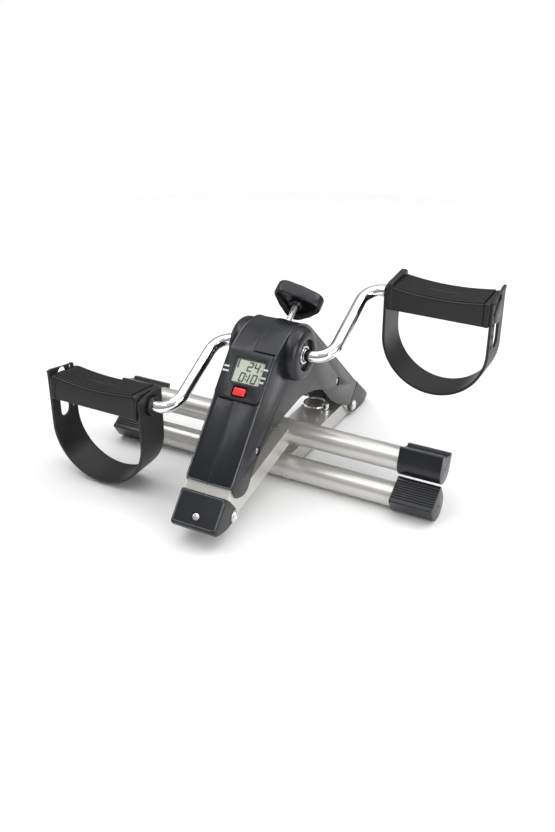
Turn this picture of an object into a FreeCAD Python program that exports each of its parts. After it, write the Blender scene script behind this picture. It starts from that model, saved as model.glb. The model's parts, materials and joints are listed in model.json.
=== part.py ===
import FreeCAD, Part
import math
import os
import re
import Sketcher
from FreeCAD import Placement, Rotation, Vector

# Folding pedal exerciser, stored folded as it stands on the floor.
# +X runs along the cross tubes to the right, -Y is the display side, +Z is up, the floor is z = 0.
# Everything is drawn about the crank axis at y = 0 and moved by crank_y as a whole, so that the
# origin is the middle of the footprint. All sizes are in millimetres and degrees.
SIZES = {
    "crank_y": -18.2, "crank_z": 143.5,
    # crank: one bent rod, arms in one plane
    "rod_r": 6.35, "bend_r": 20.0, "arm_length": 101.0, "arm_angle": 26.2, "arm_x": 62.8,
    "spindle_end": 199.0, "running_gap": 0.05,
    # frame: a bent channel shaped like a wide upside-down V
    "front_pivot_y": -126.6, "front_pivot_z": 24.2, "front_slope": 48.0,
    "rear_pivot_y": 155.0, "rear_pivot_z": 12.4, "rear_slope": 43.0,
    "channel_half": 23.3, "channel_wall": 2.0, "web_height": 21.5, "pivot_r": 4.0,
    # plastic shells around the frame
    "housing_half": 25.5, "housing_wall": 2.0, "face_height": 25.0,
    "cap_half": 25.0, "cap_inner": 23.6, "cap_mouth": 21.2,
    "boss_r": 27.5, "boss_out": 38.5, "shell_screw_r": 3.4,
    # folding legs
    "leg_half": 20.5, "leg_wall": 1.8, "leg_rise": 9.5,
    "front_leg_length": 134.5, "front_leg_angle": 11.1,
    "rear_leg_length": 162.1, "rear_leg_angle": 179.081,
    # cross tubes and their end caps
    "tube_r": 12.7, "tube_wall": 1.5, "tube_half": 184.6, "end_half": 187.6, "end_length": 45.0,
    "end_r": 15.0, "end_flat": 14.0, "ridge_rise": 1.2, "front_flat_tilt": -18.0, "rear_flat_tilt": 32.7,
    # display
    "display_along": 129.3, "display_width": 49.0, "display_length": 50.0, "bezel_rise": 3.0,
    "lcd_width": 28.0, "lcd_height": 22.0, "lcd_up": 6.5, "button_width": 13.0, "button_height": 7.5,
    "button_up": -15.7,
    # tension screw, leaning back from the vertical, and its three-cornered knob
    "screw_along": 188.5, "screw_tilt": 57.0, "screw_r": 3.0, "screw_low": -17.5,
    "knob_corner": 33.0, "knob_side": 20.5, "knob_low": 19.3, "knob_high": 35.3,
    "drum_r": 16.0, "drum_half": 12.0,
    # pedals
    "pedal_in": 96.0, "pedal_out": 195.0, "pedal_half": 21.0, "pedal_top": 16.0, "pedal_bottom": 11.0,
    "ear_top": 23.0, "strap_half": 19.5, "strap_in": 88.5, "strap_out": 200.5, "strap_wall": 2.8,
    "strap_depth": 95.0,
    # lock pins on the legs
    "pin_along": 46.0, "pin_x": 10.0, "pin_r": 3.0, "ring_r": 13.0, "ring_wire": 1.3, "eye_rise": 16.6,
}

doc = FreeCAD.newDocument("pedal_exerciser")
sheet = doc.addObject("Spreadsheet::Sheet", "sizes")
for row, (name, value) in enumerate(SIZES.items(), start=1):
    sheet.set(f"A{row}", name)
    sheet.set(f"B{row}", str(value))
    sheet.setAlias(f"B{row}", name)
doc.recompute()

calculator = doc.addObject("App::FeaturePython", "calculator")
calculator.addProperty("App::PropertyFloat", "result")
parts = []


def linked(text):
    """Turn the size names in an expression into references to the sheet."""
    return re.sub(r"[a-z]\w*", lambda m: "sizes." + m.group() if m.group() in SIZES else m.group(),
                  str(text))


def value_of(text):
    """Work out a size expression from the sheet's values."""
    calculator.setExpression("result", linked(text))
    calculator.recompute()
    return calculator.result


def front(along, height):
    """A point given along the front arm (outwards from its pivot) and square to its face."""
    return (f"front_pivot_y - cos(front_slope) * ({along}) - sin(front_slope) * ({height})",
            f"front_pivot_z - sin(front_slope) * ({along}) + cos(front_slope) * ({height})")


def rear(along, height):
    """A point given along the rear arm (outwards from its pivot) and square to its face."""
    return (f"rear_pivot_y + cos(rear_slope) * ({along}) + sin(rear_slope) * ({height})",
            f"rear_pivot_z - sin(rear_slope) * ({along}) + cos(rear_slope) * ({height})")


def on_leg(side, along, rise):
    """A point given along a folded leg from its pivot and square to it."""
    turn = f"{side}_leg_angle"
    up = "1" if side == "front" else "-1"
    return (f"{side}_pivot_y + cos({turn}) * ({along}) - sin({turn}) * ({rise}) * {up}",
            f"{side}_pivot_z + sin({turn}) * ({along}) + cos({turn}) * ({rise}) * {up}")


def leg_tilt(side):
    """The turn about X that lays a piece square on a folded leg."""
    return "front_leg_angle" if side == "front" else "rear_leg_angle - 180"


def tube_axis(side):
    return on_leg(side, f"{side}_leg_length", 0)


def new_body(label):
    body = doc.addObject("PartDesign::Body", label)
    body.Label = label
    parts.append(body)
    return body


def set_place(item, x=0, y=0, z=0, tilt=0, sideways=False):
    """Put a part at a point of the crank frame, turned about X by tilt, or with its Z along X."""
    item.Placement = Placement(Vector(), Rotation(Vector(0, 1, 0), 90) if sideways
                               else Rotation(Vector(1, 0, 0), 1))
    item.setExpression("Placement.Base.x", linked(x))
    item.setExpression("Placement.Base.y", linked(f"crank_y + {y}"))
    item.setExpression("Placement.Base.z", linked(z))
    if not sideways:
        item.setExpression("Placement.Rotation.Angle", linked(tilt))


def new_sketch(body, role, lift=0):
    """A sketch on one of the body's own origin planes, lifted along its normal."""
    sketch = body.newObject("Sketcher::SketchObject", body.Label + "_sketch")
    plane = next(item for item in body.Origin.OriginFeatures if item.Role == role)
    sketch.AttachmentSupport = (plane, [""])
    sketch.MapMode = "FlatFace"
    sketch.setExpression("AttachmentOffset.Base.z", linked(lift))
    return sketch


def tilted_sketch(body, spot, tilt, facing=1):
    """A sketch through a point of the side view, turned about X by tilt."""
    sketch = new_sketch(body, "XY_Plane")
    sketch.AttachmentOffset = Placement(Vector(), Rotation(Vector(facing, 0, 0), 1))
    sketch.setExpression("AttachmentOffset.Base.y", linked(spot[0]))
    sketch.setExpression("AttachmentOffset.Base.z", linked(spot[1]))
    sketch.setExpression("AttachmentOffset.Rotation.Angle", linked(tilt))
    return sketch


def pin_point(sketch, geometry, end, point):
    """Fix a sketch point to two size expressions."""
    for kind, text in zip(("DistanceX", "DistanceY"), point):
        number = sketch.addConstraint(Sketcher.Constraint(kind, -1, 1, geometry, end, value_of(text)))
        sketch.setExpression(f"Constraints[{number}]", linked(text))


def outline(sketch, points):
    """A closed outline of straight lines through the points."""
    spots = [Vector(value_of(x), value_of(y), 0) for x, y in points]
    first = sketch.GeometryCount
    count = len(points)
    for number in range(count):
        sketch.addGeometry(Part.LineSegment(spots[number], spots[(number + 1) % count]))
    for number in range(count):
        after = first + (number + 1) % count
        sketch.addConstraint(Sketcher.Constraint("Coincident", first + number, 2, after, 1))
        pin_point(sketch, first + number, 1, points[number])
    return sketch


def circle(sketch, centre, radius):
    spot = Vector(value_of(centre[0]), value_of(centre[1]), 0)
    ring = sketch.addGeometry(Part.Circle(spot, Vector(0, 0, 1), value_of(radius)))
    pin_point(sketch, ring, 3, centre)
    number = sketch.addConstraint(Sketcher.Constraint("Radius", ring, value_of(radius)))
    sketch.setExpression(f"Constraints[{number}]", linked(radius))
    return sketch


def pad(body, sketch, length, both_ways=True):
    feature = body.newObject("PartDesign::Pad", body.Label + "_pad")
    feature.Profile = sketch
    feature.SideType = "Symmetric" if both_ways else "One side"
    feature.setExpression("Length", linked(length))
    doc.recompute()
    return feature


def pocket(body, sketch, length, both_ways=True, backwards=False):
    before = body.Shape.Volume
    feature = body.newObject("PartDesign::Pocket", body.Label + "_pocket")
    feature.Profile = sketch
    feature.Type = "Length"
    feature.SideType = "Symmetric" if both_ways else "One side"
    feature.Reversed = backwards
    feature.setExpression("Length", linked(length))
    doc.recompute()
    if not feature.Shape.Volume < before - 0.01:
        raise RuntimeError("the pocket in " + body.Label + " cuts nothing")
    return feature


def round_edges(body, radius, wanted):
    """Fillet the edges for which wanted(edge) is true."""
    base = body.Tip
    names = [f"Edge{number}" for number, edge in enumerate(base.Shape.Edges, start=1) if wanted(edge)]
    feature = body.newObject("PartDesign::Fillet", body.Label + "_fillet")
    feature.Base = (base, names)
    feature.Radius = radius
    doc.recompute()
    return feature


def runs_along_x(edge):
    size = edge.BoundBox
    return size.XLength > 1 and size.YLength < 0.01 and size.ZLength < 0.01


def turned(label, profile, sideways=False, x=0, y=0, z=0, tilt=0):
    """A turned piece: the (radius, height) profile revolved about the piece's own Z axis."""
    body = new_body(label)
    feature = body.newObject("PartDesign::Revolution", label + "_turn")
    feature.Profile = outline(new_sketch(body, "XZ_Plane"), profile)
    feature.ReferenceAxis = (feature.Profile[0], ["V_Axis"])
    feature.Angle = 360
    set_place(body, x, y, z, tilt, sideways)
    doc.recompute()
    return body


def ring_profile(inner, outer, low, high):
    return [(inner, low), (outer, low), (outer, high), (inner, high)]


def group(label, solids):
    """Several separate solids kept as one node, such as a set of equal fasteners."""
    joined = doc.addObject("Part::Compound", label)
    joined.Label = label
    joined.Links = solids
    parts.append(joined)
    for solid in solids:
        parts.remove(solid)
    return joined


CRANK = ("0", "crank_z")
FRONT_PIVOT = ("front_pivot_y", "front_pivot_z")
REAR_PIVOT = ("rear_pivot_y", "rear_pivot_z")
SHELL_SCREWS = (("-79.4", "71.4"), ("106.9", "65"))


# ---------------------------------------------------------------- steel frame
def top_outline(height, front_start, rear_start):
    """The upper line of the frame and shells: front face, blunt top, rear face."""
    lift = f"{height} - face_height"
    return [front(front_start, height), front(f"-153 - ({lift}) / 2", height),
            ("-12", f"crank_z + 26.5 + {lift}"), ("14", f"crank_z + 26.5 + {lift}"),
            rear(f"-192 - ({lift}) / 2", height), rear(rear_start, height)]


def frame_channel():
    body = new_body("frame_channel")
    lower = [rear(11, -2), rear(4, -9), rear(-16, -9), ("118", "38"), ("90", "57"), ("68", "77"),
             ("46", "85"), ("14", "92"), ("-20", "89"), ("-52", "81"), ("-72", "74"), ("-90", "60"),
             front(-32, -6), front(-14, -11), front(4, -11), front(11, -4)]
    pad(body, outline(new_sketch(body, "YZ_Plane"), top_outline("web_height", 11, 11) + lower),
        "2 * channel_half")
    below = [rear(16, -30), ("160", "-40"), ("-130", "-40"), front(16, -30)]
    pocket(body, outline(new_sketch(body, "YZ_Plane"),
                         top_outline("web_height - channel_wall", 16, 16) + below),
           "2 * (channel_half - channel_wall)")
    holes = new_sketch(body, "YZ_Plane")
    circle(holes, CRANK, "9")
    circle(holes, FRONT_PIVOT, "pivot_r + running_gap")
    circle(holes, REAR_PIVOT, "pivot_r + running_gap")
    pocket(body, holes, "3 * channel_half")
    screw_hole(body, 5.5, 24)
    set_place(body)


def screw_hole(body, radius, depth):
    """A round hole on the tension screw's axis."""
    sketch = tilted_sketch(body, rear("-screw_along", "face_height"), "screw_tilt", facing=-1)
    return pocket(body, circle(sketch, ("0", "0"), radius), depth)


# ---------------------------------------------------------------- plastic shells
def housing_half(side, sign):
    body = new_body(f"housing_{side}")
    ends = [rear(-14, 2), rear(-19, -5), ("110", "35"), ("89.3", "49.2"), ("67.4", "72.7"),
            ("47.2", "80.6"), ("27.7", "85.9"), ("13.6", "88.2"), ("-22.4", "83.7"), ("-52.6", "76.9"),
            ("-69.3", "70.6"), ("-83.7", "61.3"), ("-94", "48.8"), front(-29, -9), front(-22, -5),
            front(-16, 8)]
    shape = top_outline("face_height", -22, -13) + ends
    solid = pad(body, outline(new_sketch(body, "YZ_Plane"), shape), "housing_half", both_ways=False)
    solid.Reversed = sign < 0
    doc.recompute()
    round_edges(body, 6, lambda edge: runs_along_x(edge) and edge.CenterOfMass.z > 150)
    edge_x = sign * sheet.housing_half
    round_edges(body, 4, lambda edge: abs(edge.CenterOfMass.x - edge_x) < 0.01
                and edge.BoundBox.XLength < 0.01 and is_upper_edge(edge))
    below = [rear(-5, -40), ("160", "-60"), ("-130", "-60"), front(-10, -40)]
    hollow = outline(new_sketch(body, "YZ_Plane"),
                     top_outline("face_height - housing_wall", -10, -5) + below)
    pocket(body, hollow, "housing_half - housing_wall", both_ways=False, backwards=sign > 0)
    bores = circle(new_sketch(body, "YZ_Plane"), CRANK, "10")
    for spot in SHELL_SCREWS:
        circle(bores, spot, "shell_screw_r")
    pocket(body, bores, "3 * housing_half")
    window(body)
    screw_hole(body, 5, 16)
    set_place(body)


def is_upper_edge(edge):
    """True for the outer edge along the front face, the top and the rear face."""
    spot = edge.CenterOfMass
    face = sheet.face_height - 0.3
    a = math.radians(sheet.front_slope)
    b = math.radians(sheet.rear_slope)
    front_rise = (spot.z - sheet.front_pivot_z) * math.cos(a) - (spot.y - sheet.front_pivot_y) * math.sin(a)
    rear_rise = (spot.z - sheet.rear_pivot_z) * math.cos(b) + (spot.y - sheet.rear_pivot_y) * math.sin(b)
    return front_rise > face or rear_rise > face or spot.z > 158


def display_place():
    return front("-display_along", "face_height")


def window(body):
    """The opening in the front face under the display."""
    sketch = tilted_sketch(body, display_place(), "front_slope")
    return pocket(body, outline(sketch, box_points(20.5, -22, 20)), 16)


def box_points(half, low, high):
    return [(f"-({half})", low), (half, low), (half, high), (f"-({half})", high)]


def bearing_cover(side, sign):
    """The domed disc around the crank on each side, with a sunk hub."""
    profile = [(10, "housing_half"), ("boss_r", "housing_half"), ("boss_r", "boss_out - 6"),
               ("boss_r - 1.5", "boss_out - 2.5"), ("boss_r - 5", "boss_out - 0.4"), (17, "boss_out"),
               (16, "boss_out"), (15, "boss_out - 4"), (10, "boss_out - 4")]
    turned(f"bearing_cover_{side}", [(r, f"{sign} * ({x})") for r, x in profile], sideways=True,
           z="crank_z")


def foot_cap(name, place, profile, mouth):
    """An open-bottomed plastic shoe over one end of the frame, so that the leg can swing through it."""
    body = new_body(f"foot_cap_{name}")
    pad(body, outline(new_sketch(body, "YZ_Plane"), profile), "2 * cap_half")
    round_edges(body, 2.5, lambda edge: runs_along_x(edge) and near(edge, place(23, 27), 16))
    seat = [place(-20, 25), place(12, 25), place(12, -30), place(-20, -30)]
    pocket(body, outline(new_sketch(body, "YZ_Plane"), seat), "2 * cap_inner")
    pocket(body, outline(new_sketch(body, "YZ_Plane"), mouth), "2 * cap_mouth")
    pivot = FRONT_PIVOT if name == "front" else REAR_PIVOT
    hole = circle(new_sketch(body, "YZ_Plane"), pivot, "pivot_r + running_gap")
    pocket(body, hole, "3 * cap_half")
    set_place(body)


def near(edge, point, distance):
    spot = edge.CenterOfMass
    return math.hypot(spot.y - value_of(point[0]), spot.z - value_of(point[1])) < distance


def foot_caps():
    shape = [front(-11, 27), front(24, 27), front(25.5, 20.5), front(22, 13), front(16, 4.5),
             front(8, -2.5), front(1, -8.5), front(-5, -7), front(-8.5, 1.5), front(-11, 15)]
    foot_cap("front", front, shape,
             [front(-15, 25), front(22, 25), front(23, 20.7), front(40, 22), front(20, -20),
              front(-15, -20)])
    shape = [rear(-12, 27), rear(34, 28), rear(36, 23), ("186", "0"), ("171", "0"), rear(7, -7.5),
             rear(-6, -10.5), rear(-14, -6), rear(-13.2, 10)]
    foot_cap("rear", rear, shape,
             [rear(-18, 25), rear(32, 26), rear(33, 16), rear(50, 5), rear(20, -30), rear(-18, -30)])


# ---------------------------------------------------------------- display
def on_display(body):
    spot = display_place()
    set_place(body, 0, spot[0], spot[1], "front_slope")


def display_parts():
    bezel = new_body("display_bezel")
    plate = box_points("display_width / 2", "-display_length / 2", "display_length / 2")
    pad(bezel, outline(new_sketch(bezel, "XY_Plane"), plate), "bezel_rise", both_ways=False)
    round_edges(bezel, 4, lambda edge: edge.BoundBox.ZLength > 1 and edge.BoundBox.XLength < 0.01)
    round_edges(bezel, 1, lambda edge: edge.BoundBox.ZLength < 0.01 and edge.CenterOfMass.z > 2)
    skirt = outline(new_sketch(bezel, "XY_Plane", -1.9), box_points(20, -21.5, 19.5))
    pad(bezel, skirt, "1.9", both_ways=False)
    view = box_points("lcd_width / 2", "lcd_up - lcd_height / 2", "lcd_up + lcd_height / 2")
    pocket(bezel, outline(new_sketch(bezel, "XY_Plane", 1.2), view), 12, both_ways=False, backwards=True)
    inner = box_points("lcd_width / 2 - 1", "lcd_up - lcd_height / 2 + 1", "lcd_up + lcd_height / 2 - 1")
    pocket(bezel, outline(new_sketch(bezel, "XY_Plane", -1), inner), 12, both_ways=False, backwards=True)
    press = box_points("button_width / 2 + 0.3", "button_up - button_height / 2 - 0.3",
                       "button_up + button_height / 2 + 0.3")
    pocket(bezel, outline(new_sketch(bezel, "XY_Plane"), press), 30)
    under = box_points("lcd_width / 2 + 2", "lcd_up - lcd_height / 2 - 2", 18.5)
    pocket(bezel, outline(new_sketch(bezel, "XY_Plane", -3), under), 2.6, both_ways=False, backwards=True)
    on_display(bezel)

    lens = new_body("display_lens")
    clear = box_points("lcd_width / 2 - 0.1", "lcd_up - lcd_height / 2 + 0.1",
                       "lcd_up + lcd_height / 2 - 0.1")
    pad(lens, outline(new_sketch(lens, "XY_Plane", 1.2), clear), 1.2, both_ways=False)
    on_display(lens)

    lcd = new_body("lcd_panel")
    glass = box_points("lcd_width / 2 - 1.1", "lcd_up - lcd_height / 2 + 1.1",
                       "lcd_up + lcd_height / 2 - 1.1")
    pad(lcd, outline(new_sketch(lcd, "XY_Plane", -0.6), glass), 1.8, both_ways=False)
    on_display(lcd)

    board = new_body("circuit_board")
    pad(board, outline(new_sketch(board, "XY_Plane", -3.3), box_points(18, -12, 19)), 1.4, both_ways=False)
    on_display(board)

    cell = turned("button_cell", ring_profile(0, 5.8, 0, 1.2))
    spot = front("-display_along - 8", "face_height - 1.85")
    set_place(cell, 9, spot[0], spot[1], "front_slope")

    button = new_body("reset_button")
    press = box_points("button_width / 2", "button_up - button_height / 2",
                       "button_up + button_height / 2")
    pad(button, outline(new_sketch(button, "XY_Plane", 0.5), press), 3.7, both_ways=False)
    round_edges(button, 0.8, lambda edge: edge.CenterOfMass.z > 3)
    on_display(button)


# ---------------------------------------------------------------- crank
def crank_rod():
    """One round bar bent into a Z: two spindles, two arms and the shaft between them."""
    body = new_body("crank_rod")
    path = new_sketch(body, "XY_Plane")
    corners = [("arm_x", "arm_length"), ("arm_x", "0"), ("-arm_x", "0"), ("-arm_x", "-arm_length")]
    ends = [("spindle_end", "arm_length"), ("-spindle_end", "-arm_length")]
    bends = [((f"{corners[0][0]} + bend_r", corners[0][1]), (corners[0][0], f"{corners[0][1]} - bend_r")),
             ((corners[1][0], "bend_r"), ("arm_x - bend_r", "0")),
             (("-arm_x + bend_r", "0"), ("-arm_x", "-bend_r")),
             (("-arm_x", "-arm_length + bend_r"), ("-arm_x - bend_r", "-arm_length"))]
    centres = [("arm_x + bend_r", "arm_length - bend_r"), ("arm_x - bend_r", "bend_r"),
               ("-arm_x + bend_r", "-bend_r"), ("-arm_x - bend_r", "-arm_length + bend_r")]
    spots = [ends[0]] + [point for bend in bends for point in bend] + [ends[1]]
    for start in range(0, len(spots), 2):
        a, b = spots[start], spots[start + 1]
        line = sketch_line(path, a, b)
        pin_point(path, line, 1, a)
        pin_point(path, line, 2, b)
    for (a, b), centre in zip(bends, centres):
        sketch_arc(path, a, b, centre)
    doc.recompute()
    section = new_sketch(body, "YZ_Plane", "spindle_end")
    circle(section, ("arm_length", "0"), "rod_r")
    pipe = body.newObject("PartDesign::AdditivePipe", "crank_rod_pipe")
    pipe.Profile = section
    pipe.Spine = (path, [f"Edge{number + 1}" for number in range(path.GeometryCount)])
    doc.recompute()
    set_place(body, 0, 0, "crank_z", "arm_angle")


def sketch_line(sketch, a, b):
    return sketch.addGeometry(Part.LineSegment(Vector(value_of(a[0]), value_of(a[1]), 0),
                                               Vector(value_of(b[0]), value_of(b[1]), 0)))


def sketch_arc(sketch, a, b, centre):
    """A quarter bend joined to the ends of the two straight runs beside it."""
    start = Vector(value_of(a[0]), value_of(a[1]), 0)
    end = Vector(value_of(b[0]), value_of(b[1]), 0)
    middle = Vector(value_of(centre[0]), value_of(centre[1]), 0)
    out = ((start - middle) + (end - middle)).normalize() * (start - middle).Length
    arc = sketch.addGeometry(Part.Arc(start, middle + out, end))
    join_arc(sketch, arc)
    number = sketch.addConstraint(Sketcher.Constraint("DistanceX", -1, 1, arc, 3, middle.x))
    sketch.setExpression(f"Constraints[{number}]", linked(centre[0]))


def join_arc(sketch, arc):
    """Tie both ends of an arc to the line ends they lie on."""
    lines = [number for number, item in enumerate(sketch.Geometry) if isinstance(item, Part.LineSegment)]
    for corner in (1, 2):
        spot = sketch.getPoint(arc, corner)
        for line in lines:
            for end in (1, 2):
                if sketch.getPoint(line, end).distanceToPoint(spot) < 0.01:
                    sketch.addConstraint(Sketcher.Constraint("Coincident", line, end, arc, corner))


def crank_parts():
    crank_rod()
    turned("friction_drum", [("rod_r", "-drum_half"), ("drum_r", "-drum_half"), ("drum_r", "drum_half"),
                             ("rod_r", "drum_half")], sideways=True, z="crank_z")
    turned("drum_pin", ring_profile(0, 1.5, 2, "drum_r - 0.5"), z="crank_z", tilt=20, x=7)
    turned("sensor_magnet", ring_profile(0, 3, "drum_half", "drum_half + 2"), sideways=True,
           y="-11", z="crank_z")
    for side, sign in (("left", -1), ("right", 1)):
        turned(f"crank_bush_{side}", [(r, f"{sign} * ({x})") for r, x in
                                      (("rod_r + running_gap", 19), (9, 19), (9, "boss_out - 5"),
                                       ("rod_r + running_gap", "boss_out - 5"))],
               sideways=True, z="crank_z")
        turned(f"spindle_cap_{side}", [(r, f"{sign} * ({x})") for r, x in
                                       ((0, "spindle_end"), (6, "spindle_end"), (6, "spindle_end + 1.4"),
                                        (4, "spindle_end + 2.4"), (0, "spindle_end + 2.4"))],
               sideways=True, y=f"{sign} * arm_length * cos(arm_angle)",
               z=f"crank_z + {sign} * arm_length * sin(arm_angle)")


# ---------------------------------------------------------------- pedals
def pedal(side, sign):
    axis_y = f"{sign} * arm_length * cos(arm_angle)"
    axis_z = f"crank_z + {sign} * arm_length * sin(arm_angle)"
    block = new_body(f"pedal_body_{side}")
    section = [("-pedal_half", "-pedal_bottom"), ("pedal_half", "-pedal_bottom"),
               ("pedal_half", "pedal_top - 4"), ("-pedal_half", "pedal_top - 4")]
    lift = "pedal_in" if sign > 0 else "-pedal_out"
    pad(block, outline(new_sketch(block, "YZ_Plane", lift), section), "pedal_out - pedal_in",
        both_ways=False)
    round_edges(block, 3, lambda edge: runs_along_x(edge) and edge.CenterOfMass.z < 0)
    for near_x in ("pedal_in - 4", "pedal_out - 3.5"):
        plate_lift = near_x if sign > 0 else f"-({near_x}) - 6"
        plate = [("-pedal_half - 1", "-pedal_bottom"), ("pedal_half + 1", "-pedal_bottom"),
                 ("pedal_half + 1", "ear_top - 7"), ("pedal_half - 6", "ear_top"),
                 ("-pedal_half + 6", "ear_top"), ("-pedal_half - 1", "ear_top - 4")]
        pad(block, outline(new_sketch(block, "YZ_Plane", plate_lift), plate), 6, both_ways=False)
    bore = circle(new_sketch(block, "YZ_Plane"), ("0", "0"), "8.5")
    pocket(block, bore, "3 * spindle_end")
    set_place(block, 0, axis_y, axis_z)

    tread = new_body(f"pedal_tread_{side}")
    lift = "pedal_in + 2" if sign > 0 else "-pedal_out + 3.7"
    base = outline(new_sketch(tread, "YZ_Plane", lift),
                   [("-pedal_half", "pedal_top - 4"), ("pedal_half", "pedal_top - 4"),
                    ("pedal_half", "pedal_top - 1.5"), ("-pedal_half", "pedal_top - 1.5")])
    pad(tread, base, "pedal_out - pedal_in - 5.7", both_ways=False)
    ribs = new_sketch(tread, "YZ_Plane", lift)
    for number in range(7):
        low = f"-pedal_half + 1.5 + {number} * 6"
        outline(ribs, [(low, "pedal_top - 1.5"), (f"{low} + 3", "pedal_top - 1.5"),
                       (f"{low} + 3", "pedal_top"), (low, "pedal_top")])
    pad(tread, ribs, "pedal_out - pedal_in - 5.7", both_ways=False)
    set_place(tread, 0, axis_y, axis_z)

    for end, low, high in (("inner", "pedal_in - 6", "pedal_in + 14"),
                           ("outer", "pedal_out - 14", "spindle_end")):
        profile = ring_profile("rod_r + running_gap", 8.5, f"{sign} * ({low})", f"{sign} * ({high})")
        turned(f"pedal_bush_{end}_{side}", profile, sideways=True, y=axis_y, z=axis_z)
    strap(side, sign, axis_y, axis_z)


def strap(side, sign, axis_y, axis_z):
    """The moulded foot strap: a U-shaped band hanging below the pedal from its two end plates."""
    body = new_body(f"pedal_strap_{side}")
    sketch = new_sketch(body, "XZ_Plane")
    middle = f"{sign} * (strap_in + strap_out) / 2"
    half = "(strap_out - strap_in) / 2"
    drop = f"-(strap_depth - {half})"
    inner_half = f"({half} - strap_wall)"
    left_out, right_out = f"{middle} - {half}", f"{middle} + {half}"
    left_in, right_in = f"{middle} - {inner_half}", f"{middle} + {inner_half}"
    top = "pedal_top - 2"
    runs = [((left_out, top), (left_out, drop)), ((right_out, drop), (right_out, top)),
            ((right_out, top), (right_in, top)), ((right_in, top), (right_in, drop)),
            ((left_in, drop), (left_in, top)), ((left_in, top), (left_out, top))]
    for a, b in runs:
        line = sketch_line(sketch, a, b)
        pin_point(sketch, line, 1, a)
        pin_point(sketch, line, 2, b)
    for a, b in (((left_out, drop), (right_out, drop)), ((left_in, drop), (right_in, drop))):
        start = Vector(value_of(a[0]), value_of(a[1]), 0)
        end = Vector(value_of(b[0]), value_of(b[1]), 0)
        low = (start + end) / 2 - Vector(0, (end - start).Length / 2, 0)
        arc = sketch.addGeometry(Part.Arc(start, low, end))
        join_arc(sketch, arc)
        number = sketch.addConstraint(Sketcher.Constraint("DistanceY", -1, 1, arc, 3, start.y))
        sketch.setExpression(f"Constraints[{number}]", linked(a[1]))
    pad(body, sketch, "2 * strap_half")
    hub = new_sketch(body, "YZ_Plane")
    circle(hub, ("0", "0"), "8.6")
    pocket(body, hub, "3 * spindle_end")
    set_place(body, 0, axis_y, axis_z)


# ---------------------------------------------------------------- tension screw
def on_screw(item):
    spot = rear("-screw_along", "face_height")
    set_place(item, 0, spot[0], spot[1], "-screw_tilt")


def off_axis(edge):
    return math.hypot(edge.CenterOfMass.x, edge.CenterOfMass.y)


def tension_knob():
    """A rounded three-cornered knob, hollow below around its hub."""
    body = new_body("tension_knob")
    points = []
    for corner in (-7, 113, 233):
        for turn, reach in ((0, "knob_corner"), (60, "knob_side")):
            points.append((f"{reach} * cos({corner + turn})", f"{reach} * sin({corner + turn})"))
    solid = outline(new_sketch(body, "XY_Plane", "knob_low"), points)
    pad(body, solid, "knob_high - knob_low", both_ways=False)
    round_edges(body, 8, lambda edge: edge.BoundBox.ZLength > 1 and off_axis(edge) > 28)
    round_edges(body, 30, lambda edge: edge.BoundBox.ZLength > 1 and off_axis(edge) < 23)
    top = sheet.knob_high - 0.01
    round_edges(body, 2.5, lambda edge: edge.BoundBox.ZLength < 0.01 and edge.CenterOfMass.z > top)
    hollow = circle(circle(new_sketch(body, "XY_Plane", "knob_low"), ("0", "0"), 17.5), ("0", "0"), 7)
    pocket(body, hollow, 6, both_ways=False, backwards=True)
    hole = circle(new_sketch(body, "XY_Plane", "knob_low"), ("0", "0"), "screw_r")
    pocket(body, hole, 10, both_ways=False, backwards=True)
    on_screw(body)


def tension_parts():
    tension_knob()
    screw = turned("tension_screw", ring_profile(0, "screw_r", "screw_low", "knob_low + 10"))
    on_screw(screw)
    nut = turned("tension_nut", ring_profile("screw_r + running_gap", 5.5, -9.5, -5.2))
    on_screw(nut)
    shoe = new_body("brake_shoe")
    base = rear("-screw_along", "face_height")
    drum = (f"-cos(screw_tilt) * ({base[0]}) - sin(screw_tilt) * (crank_z - ({base[1]}))",
            f"cos(screw_tilt) * (crank_z - ({base[1]})) - sin(screw_tilt) * ({base[0]})")
    block = [(-14, -32), (5, -32), (5, -14.5), (-6, -14.5), (-14, -19.5)]
    pad(shoe, outline(new_sketch(shoe, "YZ_Plane"), block), 22)
    relief = circle(new_sketch(shoe, "YZ_Plane"), drum, "drum_r + 0.35")
    pocket(shoe, relief, 60)
    hole = circle(new_sketch(shoe, "XY_Plane", "screw_low"), ("0", "0"), "screw_r + running_gap")
    pocket(shoe, hole, 20, both_ways=False, backwards=True)
    on_screw(shoe)


# ---------------------------------------------------------------- folding legs
def leg(side):
    body = new_body(f"leg_{side}")
    length = f"{side}_leg_length"
    pad(body, outline(new_sketch(body, "YZ_Plane"),
                      [on_leg(side, -10, "-leg_rise"), on_leg(side, length, "-leg_rise"),
                       on_leg(side, length, "leg_rise"), on_leg(side, -10, "leg_rise")]), "2 * leg_half")
    pivot = FRONT_PIVOT if side == "front" else REAR_PIVOT
    round_edges(body, 9, lambda edge: runs_along_x(edge) and near(edge, pivot, 20))
    inner = "leg_rise - leg_wall"
    below = "-leg_rise - 5"
    beyond = f"{length} + 5"
    hollow = [on_leg(side, -15, below), on_leg(side, beyond, below), on_leg(side, beyond, inner),
              on_leg(side, -15, inner)]
    pocket(body, outline(new_sketch(body, "YZ_Plane"), hollow), "2 * (leg_half - leg_wall)")
    holes = new_sketch(body, "YZ_Plane")
    circle(holes, pivot, "pivot_r + running_gap")
    circle(holes, tube_axis(side), "tube_r")
    pocket(body, holes, "3 * leg_half")
    sketch = tilted_sketch(body, on_leg(side, "pin_along", 0), leg_tilt(side))
    pocket(body, circle(sketch, ("pin_x", "0"), "pin_r + running_gap"), 24)
    set_place(body)


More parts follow.
